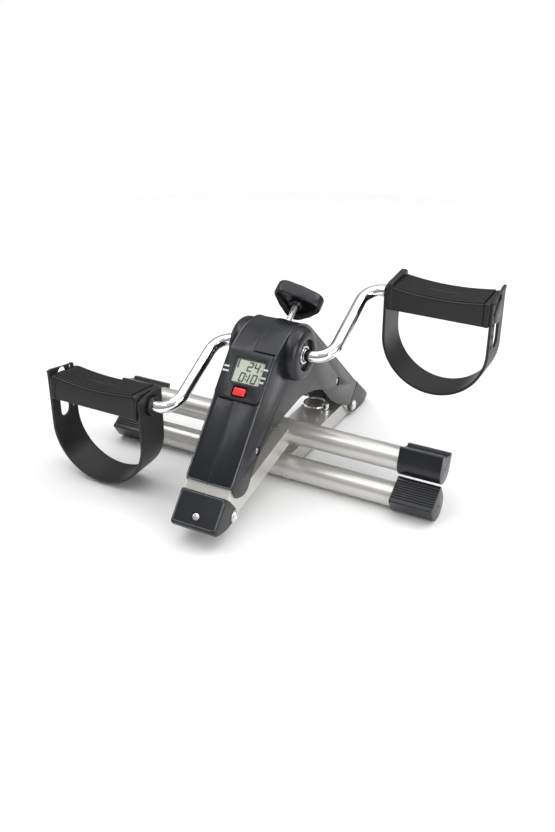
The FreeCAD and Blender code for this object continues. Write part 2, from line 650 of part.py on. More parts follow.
def leg_parts(side):
    leg(side)
    spot = tube_axis(side)
    turned(f"cross_tube_{side}", ring_profile("tube_r - tube_wall", "tube_r", "-tube_half", "tube_half"),
           sideways=True, y=spot[0], z=spot[1])
    for hand, sign in (("left", -1), ("right", 1)):
        tube_end(side, hand, sign, spot)
    lock_pin(side)


def tube_end(side, hand, sign, spot):
    """An arch-section plastic end with a flat foot, two raised edges and a socket for the tube."""
    body = new_body(f"tube_end_{side}_{hand}")
    lift = "end_half - end_length" if sign > 0 else "-end_half"
    sketch = new_sketch(body, "YZ_Plane", lift)
    tops = [("-end_r", "0"), ("-end_r", "end_flat + ridge_rise"), ("-end_r + 2.5", "end_flat + ridge_rise"),
            ("-end_r + 2.5", "end_flat"), ("end_r - 2.5", "end_flat"),
            ("end_r - 2.5", "end_flat + ridge_rise"), ("end_r", "end_flat + ridge_rise"), ("end_r", "0")]
    for number in range(len(tops) - 1):
        line = sketch_line(sketch, tops[number], tops[number + 1])
        pin_point(sketch, line, 1, tops[number])
        if number:
            sketch.addConstraint(Sketcher.Constraint("Coincident", line - 1, 2, line, 1))
    pin_point(sketch, len(tops) - 2, 2, tops[-1])
    radius = sheet.end_r
    arc = sketch.addGeometry(Part.Arc(Vector(-radius, 0, 0), Vector(0, -radius, 0), Vector(radius, 0, 0)))
    for corner in (1, 2):
        at_left = sketch.getPoint(arc, corner).x < 0
        line, end_of_line = (0, 1) if at_left else (len(tops) - 2, 2)
        sketch.addConstraint(Sketcher.Constraint("Coincident", line, end_of_line, arc, corner))
    sketch.addConstraint(Sketcher.Constraint("DistanceY", -1, 1, arc, 3, 0))
    pad(body, sketch, "end_length", both_ways=False)
    socket = circle(new_sketch(body, "YZ_Plane", lift), ("0", "0"), "tube_r")
    if sign > 0:
        pocket(body, socket, "end_length - 3", both_ways=False, backwards=True)
    else:
        socket.setExpression("AttachmentOffset.Base.z", linked("-end_half + 3"))
        pocket(body, socket, "end_length", both_ways=False, backwards=True)
    set_place(body, 0, spot[0], spot[1], f"{side}_flat_tilt")


def on_pin(item, side):
    spot = on_leg(side, "pin_along", 0)
    set_place(item, "pin_x", spot[0], spot[1], leg_tilt(side))


def lock_pin(side):
    """A spring plunger through the leg's web, with a collar and a pull ring."""
    collar = turned(f"pin_collar_{side}",
                    ring_profile("pin_r + running_gap", 6, "leg_rise", "leg_rise + 3"))
    on_pin(collar, side)
    spring = turned(f"pin_spring_{side}",
                    ring_profile("pin_r + 0.4", "pin_r + 1.4", -0.4, "leg_rise - leg_wall"))
    on_pin(spring, side)
    pin = turned(f"lock_pin_{side}", [(0, -9), (2, -9), ("pin_r", -8), ("pin_r", -7), (5, -7), (5, -5),
                                      ("pin_r", -5), ("pin_r", "eye_rise - 3.4"), (4.2, "eye_rise - 3"),
                                      (4.2, "eye_rise + 3"), (3.2, "eye_rise + 3.6"), (0, "eye_rise + 3.6")])
    eye = circle(new_sketch(pin, "XZ_Plane"), ("0", "eye_rise"), "ring_wire + 0.95")
    pocket(pin, eye, 30)
    on_pin(pin, side)
    ring = doc.addObject("Part::Torus", f"pull_ring_{side}")
    ring.Label = f"pull_ring_{side}"
    ring.setExpression("Radius1", linked("ring_r"))
    ring.setExpression("Radius2", linked("ring_wire"))
    parts.append(ring)
    spot = on_leg(side, "pin_along", "eye_rise")
    set_place(ring, "pin_x - ring_r", spot[0], spot[1], leg_tilt(side))


# ---------------------------------------------------------------- fasteners and small parts
def bolt(label, half, head_r, head_length, y, z, shank):
    """A domed bolt lying along X."""
    crown = f"{half} + {head_length}"
    profile = [(0, f"-{half}"), (shank, f"-{half}"), (shank, half), (head_r, half),
               (head_r, f"{half} + {head_length} * 0.6"), (f"{head_r} * 0.6", crown), (0, crown)]
    return turned(label, profile, sideways=True, y=y, z=z)


def fasteners():
    nuts = []
    for name, spot in (("front", FRONT_PIVOT), ("rear", REAR_PIVOT)):
        bolt(f"pivot_bolt_{name}", "cap_half", 5, 2.6, spot[0], spot[1], "pivot_r")
        ring = ring_profile("pivot_r", 5.5, "-cap_half - 2.6", "-cap_half")
        nuts.append(turned(f"pivot_nut_{name}", ring, sideways=True, y=spot[0], z=spot[1]))
    group("pivot_nuts", nuts)
    screws = []
    for hand, sign in (("left", -1), ("right", 1)):
        for number, spot in enumerate(SHELL_SCREWS):
            profile = [(0, "channel_half"), (2, "channel_half"), (2, "housing_half - housing_wall"),
                       ("shell_screw_r", "housing_half - housing_wall"),
                       ("shell_screw_r", "housing_half - 0.8"), (0, "housing_half - 0.8")]
            screws.append(turned(f"shell_screw_{hand}_{number}",
                                 [(r, f"{sign} * ({x})") for r, x in profile],
                                 sideways=True, y=spot[0], z=spot[1]))
    group("shell_screws", screws)
    cap_screws = []
    for name, spot, tilt in (("front", front(13, 27), "front_slope"),
                             ("rear", rear(20, 27.8), "-rear_slope")):
        screw = turned(f"foot_screw_{name}", ring_profile(0, 4, 0, 1.4))
        set_place(screw, 0, spot[0], spot[1], tilt)
        cap_screws.append(screw)
    group("foot_screws", cap_screws)
    switch = new_body("reed_switch")
    pad(switch, outline(new_sketch(switch, "YZ_Plane", 16), [(-16, -3), (-10, -3), (-10, 9), (-16, 9)]), 5,
        both_ways=False)
    set_place(switch, 0, 0, "crank_z")


frame_channel()
for hand, sign in (("left", -1), ("right", 1)):
    housing_half(hand, sign)
    bearing_cover(hand, sign)
foot_caps()
display_parts()
crank_parts()
for hand, sign in (("left", -1), ("right", 1)):
    pedal(hand, sign)
tension_parts()
for end in ("front", "rear"):
    leg_parts(end)
fasteners()
doc.recompute()

for item in doc.Objects:
    if "Invalid" in item.State or "Error" in item.State:
        raise RuntimeError(f"{item.Label} did not compute: {item.State}")
os.makedirs("parts", exist_ok=True)
for item in parts:
    if item.Shape.isNull() or not item.Shape.isValid():
        raise RuntimeError(f"{item.Label} has no valid shape")
    item.Shape.exportStep(f"parts/{item.Label}.step")
    print(item.Label, len(item.Shape.Solids), round(item.Shape.Volume))
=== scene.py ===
import bpy
import bmesh
import json
import math
from mathutils import Matrix, Vector


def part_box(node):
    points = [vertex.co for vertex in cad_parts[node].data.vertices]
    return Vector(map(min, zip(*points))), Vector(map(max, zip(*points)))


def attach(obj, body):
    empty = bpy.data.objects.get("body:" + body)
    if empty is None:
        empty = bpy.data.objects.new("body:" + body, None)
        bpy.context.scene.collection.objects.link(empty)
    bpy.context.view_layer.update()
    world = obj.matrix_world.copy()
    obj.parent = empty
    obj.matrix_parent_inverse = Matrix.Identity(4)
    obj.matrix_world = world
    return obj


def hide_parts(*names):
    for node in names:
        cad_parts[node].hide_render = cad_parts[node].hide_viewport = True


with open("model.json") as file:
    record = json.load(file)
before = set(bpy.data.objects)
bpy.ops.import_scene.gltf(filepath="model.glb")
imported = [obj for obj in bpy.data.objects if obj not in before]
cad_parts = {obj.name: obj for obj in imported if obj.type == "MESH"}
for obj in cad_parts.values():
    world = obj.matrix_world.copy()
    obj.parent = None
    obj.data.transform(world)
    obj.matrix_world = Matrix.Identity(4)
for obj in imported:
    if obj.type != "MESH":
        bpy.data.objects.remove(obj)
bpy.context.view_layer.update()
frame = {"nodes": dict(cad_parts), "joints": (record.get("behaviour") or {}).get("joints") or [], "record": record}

MM = 0.001
JOINTS = {joint["name"]: joint for joint in frame["joints"]}
SIDES = (("left", -1), ("right", 1))


def joint_place(name):
    """A joint's point in millimetres."""
    return Vector(JOINTS[name]["pos_m"]) / MM


CRANK = joint_place("crank_spin")
FRONT = joint_place("leg_front_fold")
REAR = joint_place("leg_rear_fold")
FRONT_OUT = -Vector(JOINTS["reset_press"]["axis"])
REAR_SLOPE = math.radians(43)
REAR_OUT = Vector((0, math.sin(REAR_SLOPE), math.cos(REAR_SLOPE)))
SCREW_OUT = Vector(JOINTS["knob_turn"]["axis"])
SCREW = joint_place("knob_turn")
CRANK.x = FRONT.x = REAR.x = SCREW.x = 0


# ---------------------------------------------------------------- places
def place(origin, up=(0, 0, 1), turn=0.0):
    """The matrix from local millimetres to metres: local X is world X, local Z is up."""
    z = Vector(up).normalized()
    x = Vector((1, 0, 0))
    y = z.cross(x)
    turned = Matrix((x, y, z)).transposed().to_4x4() @ Matrix.Rotation(math.radians(turn), 4, "X")
    return Matrix.Scale(MM, 4) @ Matrix.Translation(origin) @ turned


SIDE_VIEW = place(Vector((0, CRANK.y, 0)))
ON_FRONT = place(FRONT, FRONT_OUT)
ON_REAR = place(REAR, REAR_OUT)
ON_SCREW = place(SCREW, SCREW_OUT)
ON_MOUTH = place(SCREW, REAR_OUT)
ON_CRANK = place(CRANK)
DISPLAY_UP = 129.3
FACE = 25.0
FRONT_DOWN = Vector((1, 0, 0)).cross(FRONT_OUT)
REAR_DOWN = REAR_OUT.cross(Vector((1, 0, 0)))
ON_DISPLAY = place(FRONT - FRONT_DOWN * DISPLAY_UP + FRONT_OUT * FACE, FRONT_OUT)


def front(along, height):
    """A point of the side view from its distance down the front arm and square to it."""
    spot = FRONT + FRONT_DOWN * along + FRONT_OUT * height
    return spot.y - CRANK.y, spot.z


def rear(along, height):
    """The same for the rear arm."""
    spot = REAR + REAR_DOWN * along + REAR_OUT * height
    return spot.y - CRANK.y, spot.z


def mirrored(matrix, sign):
    """The same place, with X turned over on the left side."""
    return matrix @ Matrix.Diagonal((sign, 1, 1, 1))


def moved(matrix, x, y, z):
    """A place shifted along its own axes."""
    return matrix @ Matrix.Translation((x, y, z))


# ---------------------------------------------------------------- materials
def node(tree, kind, **values):
    """A shader node with its inputs or settings given by name."""
    made = tree.nodes.new(kind)
    for key, value in values.items():
        if key in made.inputs:
            made.inputs[key].default_value = value
        else:
            setattr(made, key, value)
    return made


def colour_ramp(tree, start, dark, end, light):
    """A colour ramp with two stops."""
    made = tree.nodes.new("ShaderNodeValToRGB")
    for stop, position, colour in zip(made.color_ramp.elements, (start, end), (dark, light)):
        stop.position, stop.color = position, (*colour, 1)
    return made


MATERIALS = {}
GRAIN_DEPTH = 0.0002


def material(name, dark, light, rough, rough_spread=0.06, metallic=0.0, speck=900.0, bump=0.05,
             blotch=28.0, shine=0.5):
    """A surface with blotchy colour, uneven gloss and a fine bumpy grain. MATERIALS keeps it."""
    made = bpy.data.materials.new(name)
    made.use_nodes = True
    tree = made.node_tree
    shader = tree.nodes["Principled BSDF"]
    shader.inputs["Metallic"].default_value = metallic
    shader.inputs["Specular IOR Level"].default_value = shine
    spot = node(tree, "ShaderNodeTexCoord")
    large = node(tree, "ShaderNodeTexNoise", Scale=blotch, Detail=4.0)
    small = node(tree, "ShaderNodeTexNoise", Scale=speck, Detail=3.0)
    for texture in (large, small):
        tree.links.new(spot.outputs["Object"], texture.inputs["Vector"])
    both = node(tree, "ShaderNodeMath", operation="MULTIPLY_ADD")
    tree.links.new(small.outputs["Fac"], both.inputs[0])
    both.inputs[1].default_value = 0.4
    tree.links.new(large.outputs["Fac"], both.inputs[2])
    ramp = colour_ramp(tree, 0.45, dark, 0.95, light)
    tree.links.new(both.outputs[0], ramp.inputs["Fac"])
    tree.links.new(ramp.outputs["Color"], shader.inputs["Base Color"])
    limits = {"From Min": 0.3, "From Max": 0.7, "To Min": rough - rough_spread,
              "To Max": rough + rough_spread}
    gloss = node(tree, "ShaderNodeMapRange", **limits)
    tree.links.new(large.outputs["Fac"], gloss.inputs["Value"])
    tree.links.new(gloss.outputs["Result"], shader.inputs["Roughness"])
    grain = node(tree, "ShaderNodeBump", Strength=bump, Distance=GRAIN_DEPTH)
    tree.links.new(small.outputs["Fac"], grain.inputs["Height"])
    tree.links.new(grain.outputs["Normal"], shader.inputs["Normal"])
    MATERIALS[name] = made
    return made


material("black_plastic", (0.0065, 0.0070, 0.0095), (0.0115, 0.0125, 0.0165), 0.30, speck=1500,
         bump=0.10, shine=0.42)
# Lighter grey than the black plastic: a painted highlight for the raised edge beads.
material("painted_highlight_edge", (0.030, 0.032, 0.036), (0.045, 0.047, 0.052), 0.20, 0.04, speck=1500,
         bump=0.05, shine=0.9)
material("pedal_plastic", (0.0075, 0.0080, 0.0090), (0.013, 0.0135, 0.015), 0.38, speck=1300, bump=0.14,
         shine=0.38)
material("strap_rubber", (0.0095, 0.0095, 0.0100), (0.016, 0.016, 0.017), 0.44, speck=1100, bump=0.2,
         blotch=16, shine=0.40)
material("tread_rubber", (0.0045, 0.0045, 0.0050), (0.009, 0.009, 0.0095), 0.52, speck=1000, bump=0.25,
         shine=0.35)
material("silver_paint", (0.56, 0.55, 0.525), (0.63, 0.62, 0.595), 0.28, 0.03, metallic=0.6, speck=2600,
         bump=0.06, blotch=9)
material("chrome", (0.80, 0.80, 0.81), (0.88, 0.88, 0.89), 0.07, 0.02, metallic=1.0, speck=700,
         bump=0.01, blotch=14)
material("zinc", (0.68, 0.68, 0.68), (0.82, 0.82, 0.81), 0.26, 0.06, metallic=1.0, speck=1600,
         bump=0.08, blotch=90)
material("cast_iron", (0.10, 0.10, 0.10), (0.22, 0.21, 0.20), 0.55, metallic=1.0, speck=900, bump=0.3)
material("bronze", (0.34, 0.21, 0.09), (0.5, 0.33, 0.15), 0.4, metallic=1.0, speck=1800, bump=0.15)
material("lcd", (0.37, 0.41, 0.32), (0.46, 0.50, 0.40), 0.3, 0.03, speck=2400, bump=0.03, blotch=30)
material("board", (0.01, 0.10, 0.03), (0.02, 0.16, 0.05), 0.35, speck=1200, bump=0.1)
material("red_plastic", (0.62, 0.012, 0.018), (0.78, 0.03, 0.035), 0.34, 0.04, speck=1500, bump=0.08)
material("brake_pad", (0.22, 0.15, 0.08), (0.38, 0.28, 0.17), 0.85, speck=600, bump=0.5)
# Ink of the display's digits; also used as painted shade inside the LCD window and round the button.
material("ink_and_painted_shade", (0.004, 0.005, 0.004), (0.008, 0.009, 0.008), 0.8, speck=1500, bump=0.02, shine=0.15)
material("print_white", (0.55, 0.56, 0.58), (0.72, 0.73, 0.74), 0.5, speck=1800, bump=0.05)
material("weld", (0.42, 0.41, 0.38), (0.62, 0.61, 0.57), 0.42, 0.08, metallic=0.9, speck=700, bump=0.5,
         blotch=160)
# Almost clear plastic over the display.
lens = material("lcd_glass", (0.75, 0.78, 0.75), (0.85, 0.88, 0.85), 0.22, 0.03, speck=500, bump=0.01)
lens.node_tree.nodes["Principled BSDF"].inputs["Alpha"].default_value = 0.05


# ---------------------------------------------------------------- mesh tools
def mesh_object(name, verts, faces, matrix=Matrix.Identity(4)):
    """An object from points in local millimetres and faces."""
    mesh = bpy.data.meshes.new(name)
    mesh.from_pydata([tuple(v) for v in verts], [], faces)
    mesh.transform(matrix)
    if matrix.determinant() < 0:
        mesh.flip_normals()
    made = bpy.data.objects.new(name, mesh)
    bpy.context.scene.collection.objects.link(made)
    return made


def tidy_normals(item, thin_edges=False):
    """Join doubled points and point all normals outwards on a closed mesh."""
    work = bmesh.new()
    work.from_mesh(item.data)
    bmesh.ops.remove_doubles(work, verts=work.verts, dist=1e-7)
    if thin_edges:
        bmesh.ops.dissolve_degenerate(work, edges=work.edges, dist=1e-8)
    bmesh.ops.recalc_face_normals(work, faces=work.faces)
    work.to_mesh(item.data)
    work.free()
    return item


def settle(item):
    """Make an object's modifiers part of its mesh."""
    bpy.context.view_layer.update()
    graph = bpy.context.evaluated_depsgraph_get()
    mesh = bpy.data.meshes.new_from_object(item.evaluated_get(graph))
    item.modifiers.clear()
    old = item.data
    item.data = mesh
    bpy.data.meshes.remove(old)
    return item


def bevel(item, width, segments=3, angle=30, limit="ANGLE", clamp=True):
    """Round an object's sharp edges. The width is in millimetres."""
    modifier = item.modifiers.new("bevel", "BEVEL")
    modifier.width = width * MM
    modifier.segments = segments
    modifier.limit_method = limit
    modifier.angle_limit = math.radians(angle)
    modifier.use_clamp_overlap = clamp
    return settle(item)


def cut(item, *cutters):
    """Take the cutters away from an object."""
    for cutter in cutters:
        modifier = item.modifiers.new("cut", "BOOLEAN")
        modifier.operation = "DIFFERENCE"
        modifier.solver = "EXACT"
        modifier.object = cutter
        settle(item)
        mesh = cutter.data
        bpy.data.objects.remove(cutter)
        bpy.data.meshes.remove(mesh)
    return item


def merge(name, items):
    """Several meshes as one object."""
    work = bmesh.new()
    for item in items:
        work.from_mesh(item.data)
        bpy.data.objects.remove(item)
    mesh = bpy.data.meshes.new(name)
    work.to_mesh(mesh)
    work.free()
    made = bpy.data.objects.new(name, mesh)
    bpy.context.scene.collection.objects.link(made)
    return made


def finish_piece(item, body, look, stands_for=(), sharp=32):
    """Give a piece its finish and its body."""
    item.data.materials.clear()
    item.data.materials.append(MATERIALS[look])
    item.data.shade_smooth()
    item.data.set_sharp_from_angle(angle=math.radians(sharp))
    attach(item, body)
    if stands_for:
        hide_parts(*stands_for)
    return item


def ring_faces(rings, count, closed=False):
    """The faces between rings of points that follow each other. If closed, the last joins the first."""
    faces = []
    for ring in range(rings if closed else rings - 1):
        low, high = ring * count, (ring + 1) % rings * count
        for step in range(count):
            following = (step + 1) % count
            faces.append((low + step, low + following, high + following, high + step))
    return faces


def end_faces(rings, count):
    """The faces that close the first and the last ring."""
    return [tuple(range(count)), tuple(range((rings - 1) * count, rings * count))[::-1]]


def rectangle(half_a, half_b):
    """Its four corners, round the middle."""
    return [(-half_a, -half_b), (half_a, -half_b), (half_a, half_b), (-half_a, half_b)]


def around(radius, angles):
    """Points on a circle at angles in degrees."""
    return [(radius * math.cos(math.radians(a)), radius * math.sin(math.radians(a))) for a in angles]


def filled_in(line, gap=4.0):
    """A line with points added, so that none is further than the gap from the next one."""
    dense = []
    for a, b in zip(line, line[1:]):
        a, b = Vector(a), Vector(b)
        steps = max(1, int((b - a).length / gap))
        dense += [a.lerp(b, step / steps) for step in range(steps)]
    return dense + [Vector(line[-1])]


def rounded(points, default=0.0):
    """A closed outline with its corners rounded. Points are (a, b) or (a, b, radius)."""
    made = []
    count = len(points)
    for number in range(count):
        here = points[number]
        radius = here[2] if len(here) > 2 else default
        corner = Vector(here[:2])
        before = Vector(points[number - 1][:2]) - corner
        after = Vector(points[(number + 1) % count][:2]) - corner
        angle = before.angle(after)
        if radius <= 0 or angle > 3.1:
            made.append(tuple(corner))
            continue
        reach = min(radius / math.tan(angle / 2), 0.49 * before.length, 0.49 * after.length)
        radius = reach * math.tan(angle / 2)
        start = corner + before.normalized() * reach
        end = corner + after.normalized() * reach
        inward = (before.normalized() + after.normalized()).normalized()
        middle = corner + inward * radius / math.sin(angle / 2)
        steps = max(2, int((math.pi - angle) / 0.12))
        first = start - middle
        turn = first.angle_signed(end - middle)
        for step in range(steps + 1):
            made.append(tuple(middle + Matrix.Rotation(-turn * step / steps, 2) @ first))
    return made


def normals(line):
    """The left-hand normal at each point of an open line."""
    last = len(line) - 1
    made = []
    for n in range(last + 1):
        along = (Vector(line[min(n + 1, last)]) - Vector(line[max(n - 1, 0)])).normalized()
        made.append(Vector((-along.y, along.x)))
    return made


def slab(name, points, low, high, matrix, axis="x", width=0.0, segments=3):
    """An outline given thickness along local X or Z, with rounded edges."""
    count = len(points)
    if axis == "x":
        verts = [(h, a, b) for h in (low, high) for a, b in points]
    else:
        verts = [(a, b, h) for h in (low, high) for a, b in points]
    faces = [tuple(range(count))[::-1], tuple(range(count, 2 * count))]
    faces += [(n, (n + 1) % count, count + (n + 1) % count, count + n) for n in range(count)]
    made = tidy_normals(mesh_object(name, verts, faces, matrix))
    return bevel(made, width, segments) if width else made


def pillow(name, points, half, width, matrix, steps=6):
    """An outline given thickness along local X, with wide round edges on both sides."""
    count = len(points)
    inward = []
    for n in range(count):
        before, after = Vector(points[n - 1]), Vector(points[(n + 1) % count])
        along = (after - before).normalized()
        inward.append(Vector((-along.y, along.x)))
    area = sum(points[n - 1][0] * points[n][1] - points[n][0] * points[n - 1][1] for n in range(count))
    turn = 1 if area > 0 else -1
    rings = []
    for step in range(steps + 1):
        angle = math.pi / 2 * (steps - step) / steps
        rings.append((-half + width * (1 - math.sin(angle)), width * (1 - math.cos(angle))))
    rings += [(-x, inset) for x, inset in rings[::-1]]
    verts = [(x, *(Vector(spot) + inward[n] * turn * inset)) for x, inset in rings
             for n, spot in enumerate(points)]
    faces = end_faces(len(rings), count) + ring_faces(len(rings), count)
    return tidy_normals(mesh_object(name, verts, faces, matrix))


def lathe(name, profile, matrix, axis="z", segments=72):
    """A (radius, height) profile turned about local X or Z. One that stays off the axis gives a ring."""
    verts = []
    count = len(profile)
    for number in range(segments):
        angle = 2 * math.pi * number / segments
        for radius, height in profile:
            a, b = radius * math.cos(angle), radius * math.sin(angle)
            verts.append((height, a, b) if axis == "x" else (a, b, height))
    on_axis = [radius == 0 for radius, height in profile]
    faces = [face for face in ring_faces(segments, count, closed=True)
             if not (on_axis[face[0] % count] and on_axis[face[1] % count])]
    return tidy_normals(mesh_object(name, verts, faces, matrix), thin_edges=True)


def drill(radius, low, high, matrix, axis="z", segments=72):
    """A round cutter, or a plain rod."""
    return lathe("cutter", [(0, low), (radius, low), (radius, high), (0, high)], matrix, axis, segments)


def bar(name, path, radius, matrix, sides=20, closed=False):
    """A round bar along a path."""
    points = [Vector(p) for p in path]
    count = len(points)
    verts = []
    normal = None
    for number in range(count):
        if closed:
            direction = points[(number + 1) % count] - points[number - 1]
        else:
            direction = points[min(number + 1, count - 1)] - points[max(number - 1, 0)]
        direction.normalize()
        if normal is None:
            normal = direction.orthogonal().normalized()
        normal = (normal - direction * normal.dot(direction)).normalized()
        side = direction.cross(normal)
        for step in range(sides):
            angle = 2 * math.pi * step / sides
            verts.append(points[number] + (normal * math.cos(angle) + side * math.sin(angle)) * radius)
    faces = ring_faces(count, sides, closed)
    if not closed:
        faces += end_faces(count, sides)
    return tidy_normals(mesh_object(name, verts, faces, matrix))


def helix(radius, low, high, pitch, steps=24):
    """The middle line of a thread or a coil spring."""
    count = int((high - low) / pitch * steps)
    return [(radius * math.cos(2 * math.pi * n / steps), radius * math.sin(2 * math.pi * n / steps),
             low + pitch * n / steps) for n in range(count + 1)]


def cross_head(name, radius, rise, matrix, axis="z", sign=1):
    """A domed screw head with a cross recess. Its seat is at height 0."""
    profile = [(0, 0), (radius, 0), (radius, rise * 0.35), (radius * 0.86, rise * 0.72),
               (radius * 0.55, rise * 0.95), (0, rise)]
    if axis == "x":
        matrix = matrix @ Matrix.Rotation(math.radians(90 * sign), 4, "Y")
    head = lathe(name, profile, matrix, segments=40)
    arm, width = radius * 0.58, radius * 0.14
    slots = [slab("cutter", rectangle(a, b), rise * 0.35, rise + 2, matrix, axis="z")
             for a, b in ((arm, width), (width, arm))]
    return cut(head, *slots)


# ---------------------------------------------------------------- housing
DRUM_TOP = 26.5


def crest(height):
    """The housing's upper line with its rounded corners, from the front end to the rear end."""
    lift = height - FACE
    top = CRANK.z + DRUM_TOP + lift
    corners = [(*front(-22, height), 0), (*front(-153 - lift / 2, height), 55), (-12, top, 42),
               (14, top, 30), (*rear(-192 - lift / 2, height), 45), (*rear(-13, height), 0)]
    return rounded(corners)


def belly():
    """The housing's lower line, from the rear end back to the front end."""
    spots = [(*rear(-13.6, -1.5), 3.5), (*rear(-18, -6.5), 5), (110, 35, 14), (89.3, 49.2, 60),
             (67.4, 72.7, 30), (47.2, 80.6, 40), (27.7, 85.9, 60), (13.6, 88.2, 60), (-22.4, 83.7, 80),
             (-52.6, 76.9, 60), (-69.3, 70.6, 40), (-83.7, 61.3, 40), (-94, 48.8, 40),
             (*front(-29, -9), 12), (*front(-22, -5), 8), (*front(-15.5, 8), 6)]
    ends = [(*rear(-13.5, FACE), 0)] + spots + [(*front(-20.4, FACE), 0)]
    return rounded(ends)[1:-1]


SHELL_SCREWS = ((-79.4, 71.4), (106.9, 65.0))
MOUTH = [(-9, -13), (21, -13), (21, 10), (-9, 10)]
HOUSING_HALF = 25.5
HOUSING_ROUND = 2.4
HOUSING_WALL = 2.0


def housing(side, sign):
    """One half of the shell: a side wall and half of the upper face, which has a ridge in the middle."""
    top = crest(FACE)
    low = belly()
    count = len(top)
    # Each row is a distance from the middle of the shell and the rise of its upper face there.
    rows = [(HOUSING_HALF, 0.0), (20.5, 0.0), (12, 0.2), (5.0, 0.38), (2.6, 0.72), (1.2, 0.98), (0.3, 1.05),
            (0.02, 0.75)]
    out = normals(top)
    verts = [(x, *(Vector(top[n]) + out[n] * rise)) for x, rise in rows for n in range(count)]
    first_low = len(verts)
    verts += [(HOUSING_HALF, *spot) for spot in low]
    faces = []
    for row in range(len(rows) - 1):
        for n in range(count - 1):
            a, b = row * count + n, (row + 1) * count + n
            faces.append((a, a + 1, b + 1, b))
    faces.append(tuple(range(count))[::-1] + tuple(range(first_low, len(verts)))[::-1])
    made = mesh_object(f"shell_{side}", verts, faces, mirrored(SIDE_VIEW, sign))
    work = bmesh.new()
    work.from_mesh(made.data)
    bmesh.ops.recalc_face_normals(work, faces=work.faces)
    plate = max(work.faces, key=lambda face: len(face.verts))
    if plate.normal.x * sign < 0:
        bmesh.ops.reverse_faces(work, faces=work.faces)
    weights = work.edges.layers.float.new("bevel_weight_edge")
    for edge in work.edges:
        if len(edge.link_faces) == 2 and plate in edge.link_faces:
            edge[weights] = 1.0
    work.to_mesh(made.data)
    work.free()
    bevel(made, HOUSING_ROUND, 5, limit="WEIGHT", clamp=False)
    thick = made.modifiers.new("thick", "SOLIDIFY")
    thick.thickness = HOUSING_WALL * MM
    thick.offset = -1
    thick.use_even_offset = True
    settle(made)
    tidy_normals(made)
    holes = [drill(10.5, 15, 30, mirrored(ON_CRANK, sign), "x")]
    for y, z in SHELL_SCREWS:
        there = moved(mirrored(SIDE_VIEW, sign), 0, y, z)
        holes.append(slab("cutter", rounded(rectangle(3.9, 5.2), 3.8), 20, 30, there))
    opening = [(-20, -23.2), (20, -23.2), (20, 19.7), (-20, 19.7)]
    holes.append(slab("cutter", opening, -6, 6, ON_DISPLAY, "z"))
    holes.append(slab("cutter", rounded(MOUTH, 5), -6, 9, ON_MOUTH, axis="z"))
    cut(made, *holes)
    return bevel(made, 0.45, 2, 50)


def cup(sign, spot):
    """The sunk seat of a shell screw."""
    there = moved(mirrored(SIDE_VIEW, sign), 0, *spot)
    ring = slab("seat", rounded(rectangle(4.3, 5.6), 4.2), 22.6, HOUSING_HALF - 0.3, there)
    hole = slab("cutter", rounded(rectangle(3.7, 5.0), 3.6), 23.45, 30, there)
    return cut(ring, hole)


def edge_bead():
    """A fine raised bead along both edges of the housing's upper face and across its two ends. Its lighter grey
    colour is a painted highlight.
    """
    line = crest(FACE - 0.3)
    line[0], line[-1] = front(-21.2, FACE - 0.5), rear(-14.3, FACE - 0.5)
    dense = filled_in(line)
    reach, turn = 24.5, 3.6
    corner = [(reach - turn * (1 - math.sin(angle)), turn * (1 - math.cos(angle)))
              for angle in (math.pi / 2 * step / 6 for step in range(7))]
    first, last = (dense[1] - dense[0]).normalized(), (dense[-2] - dense[-1]).normalized()
    path = [(x, *(dense[0] + first * along)) for x, along in corner]
    path += [(reach, *spot) for spot in dense[2:-2]]
    path += [(x, *(dense[-1] + last * along)) for x, along in corner[::-1]]
    path += [(-x, y, z) for x, y, z in path[::-1]]
    return bar("edge_bead", path, 0.8, SIDE_VIEW, 12, closed=True)


finish_piece(edge_bead(), "frame", "painted_highlight_edge", sharp=60)

for side, sign in SIDES:
    shell = housing(side, sign)
    seats = [cup(sign, spot) for spot in SHELL_SCREWS]
    shell = merge(f"shell_{side}", [shell] + seats)
    finish_piece(shell, "frame", "black_plastic", [f"housing_{side}"], 28)

heads = [cross_head("head", 3.3, 1.7, moved(SIDE_VIEW, sign * 23.4, y, z), "x", sign)
         for side, sign in SIDES for y, z in SHELL_SCREWS]
finish_piece(merge("shell_screw_heads", heads), "frame", "zinc", ["shell_screws"])


def lap_panel():
    """The raised lap on the right half of the drum, from above the display to the tension screw."""
    top = crest(FACE)
    start, end = front(-157, FACE), (5.5, CRANK.z + DRUM_TOP)
    path = [Vector(p) for p in top if start[0] - 0.01 <= p[0] <= end[0]]
    path = [Vector(start)] + path + [Vector(end)]
    count = len(path)
    out = normals(path)
    verts = [(x, *(path[n] + out[n] * lift))
             for lift in (-0.4, 0.95) for x in (0.5, 24.6) for n in range(count)]
    faces = []
    for n in range(count - 1):
        faces.append((n, n + 1, count + n + 1, count + n))
        faces.append((2 * count + n, 3 * count + n, 3 * count + n + 1, 2 * count + n + 1))
        faces.append((n, 2 * count + n, 2 * count + n + 1, n + 1))
        faces.append((count + n, count + n + 1, 3 * count + n + 1, 3 * count + n))
    for n in (0, count - 1):
        faces.append((n, count + n, 3 * count + n, 2 * count + n))
    made = tidy_normals(mesh_object("drum_lap", verts, faces, SIDE_VIEW))
    return bevel(made, 0.5, 3)


finish_piece(lap_panel(), "frame", "black_plastic")


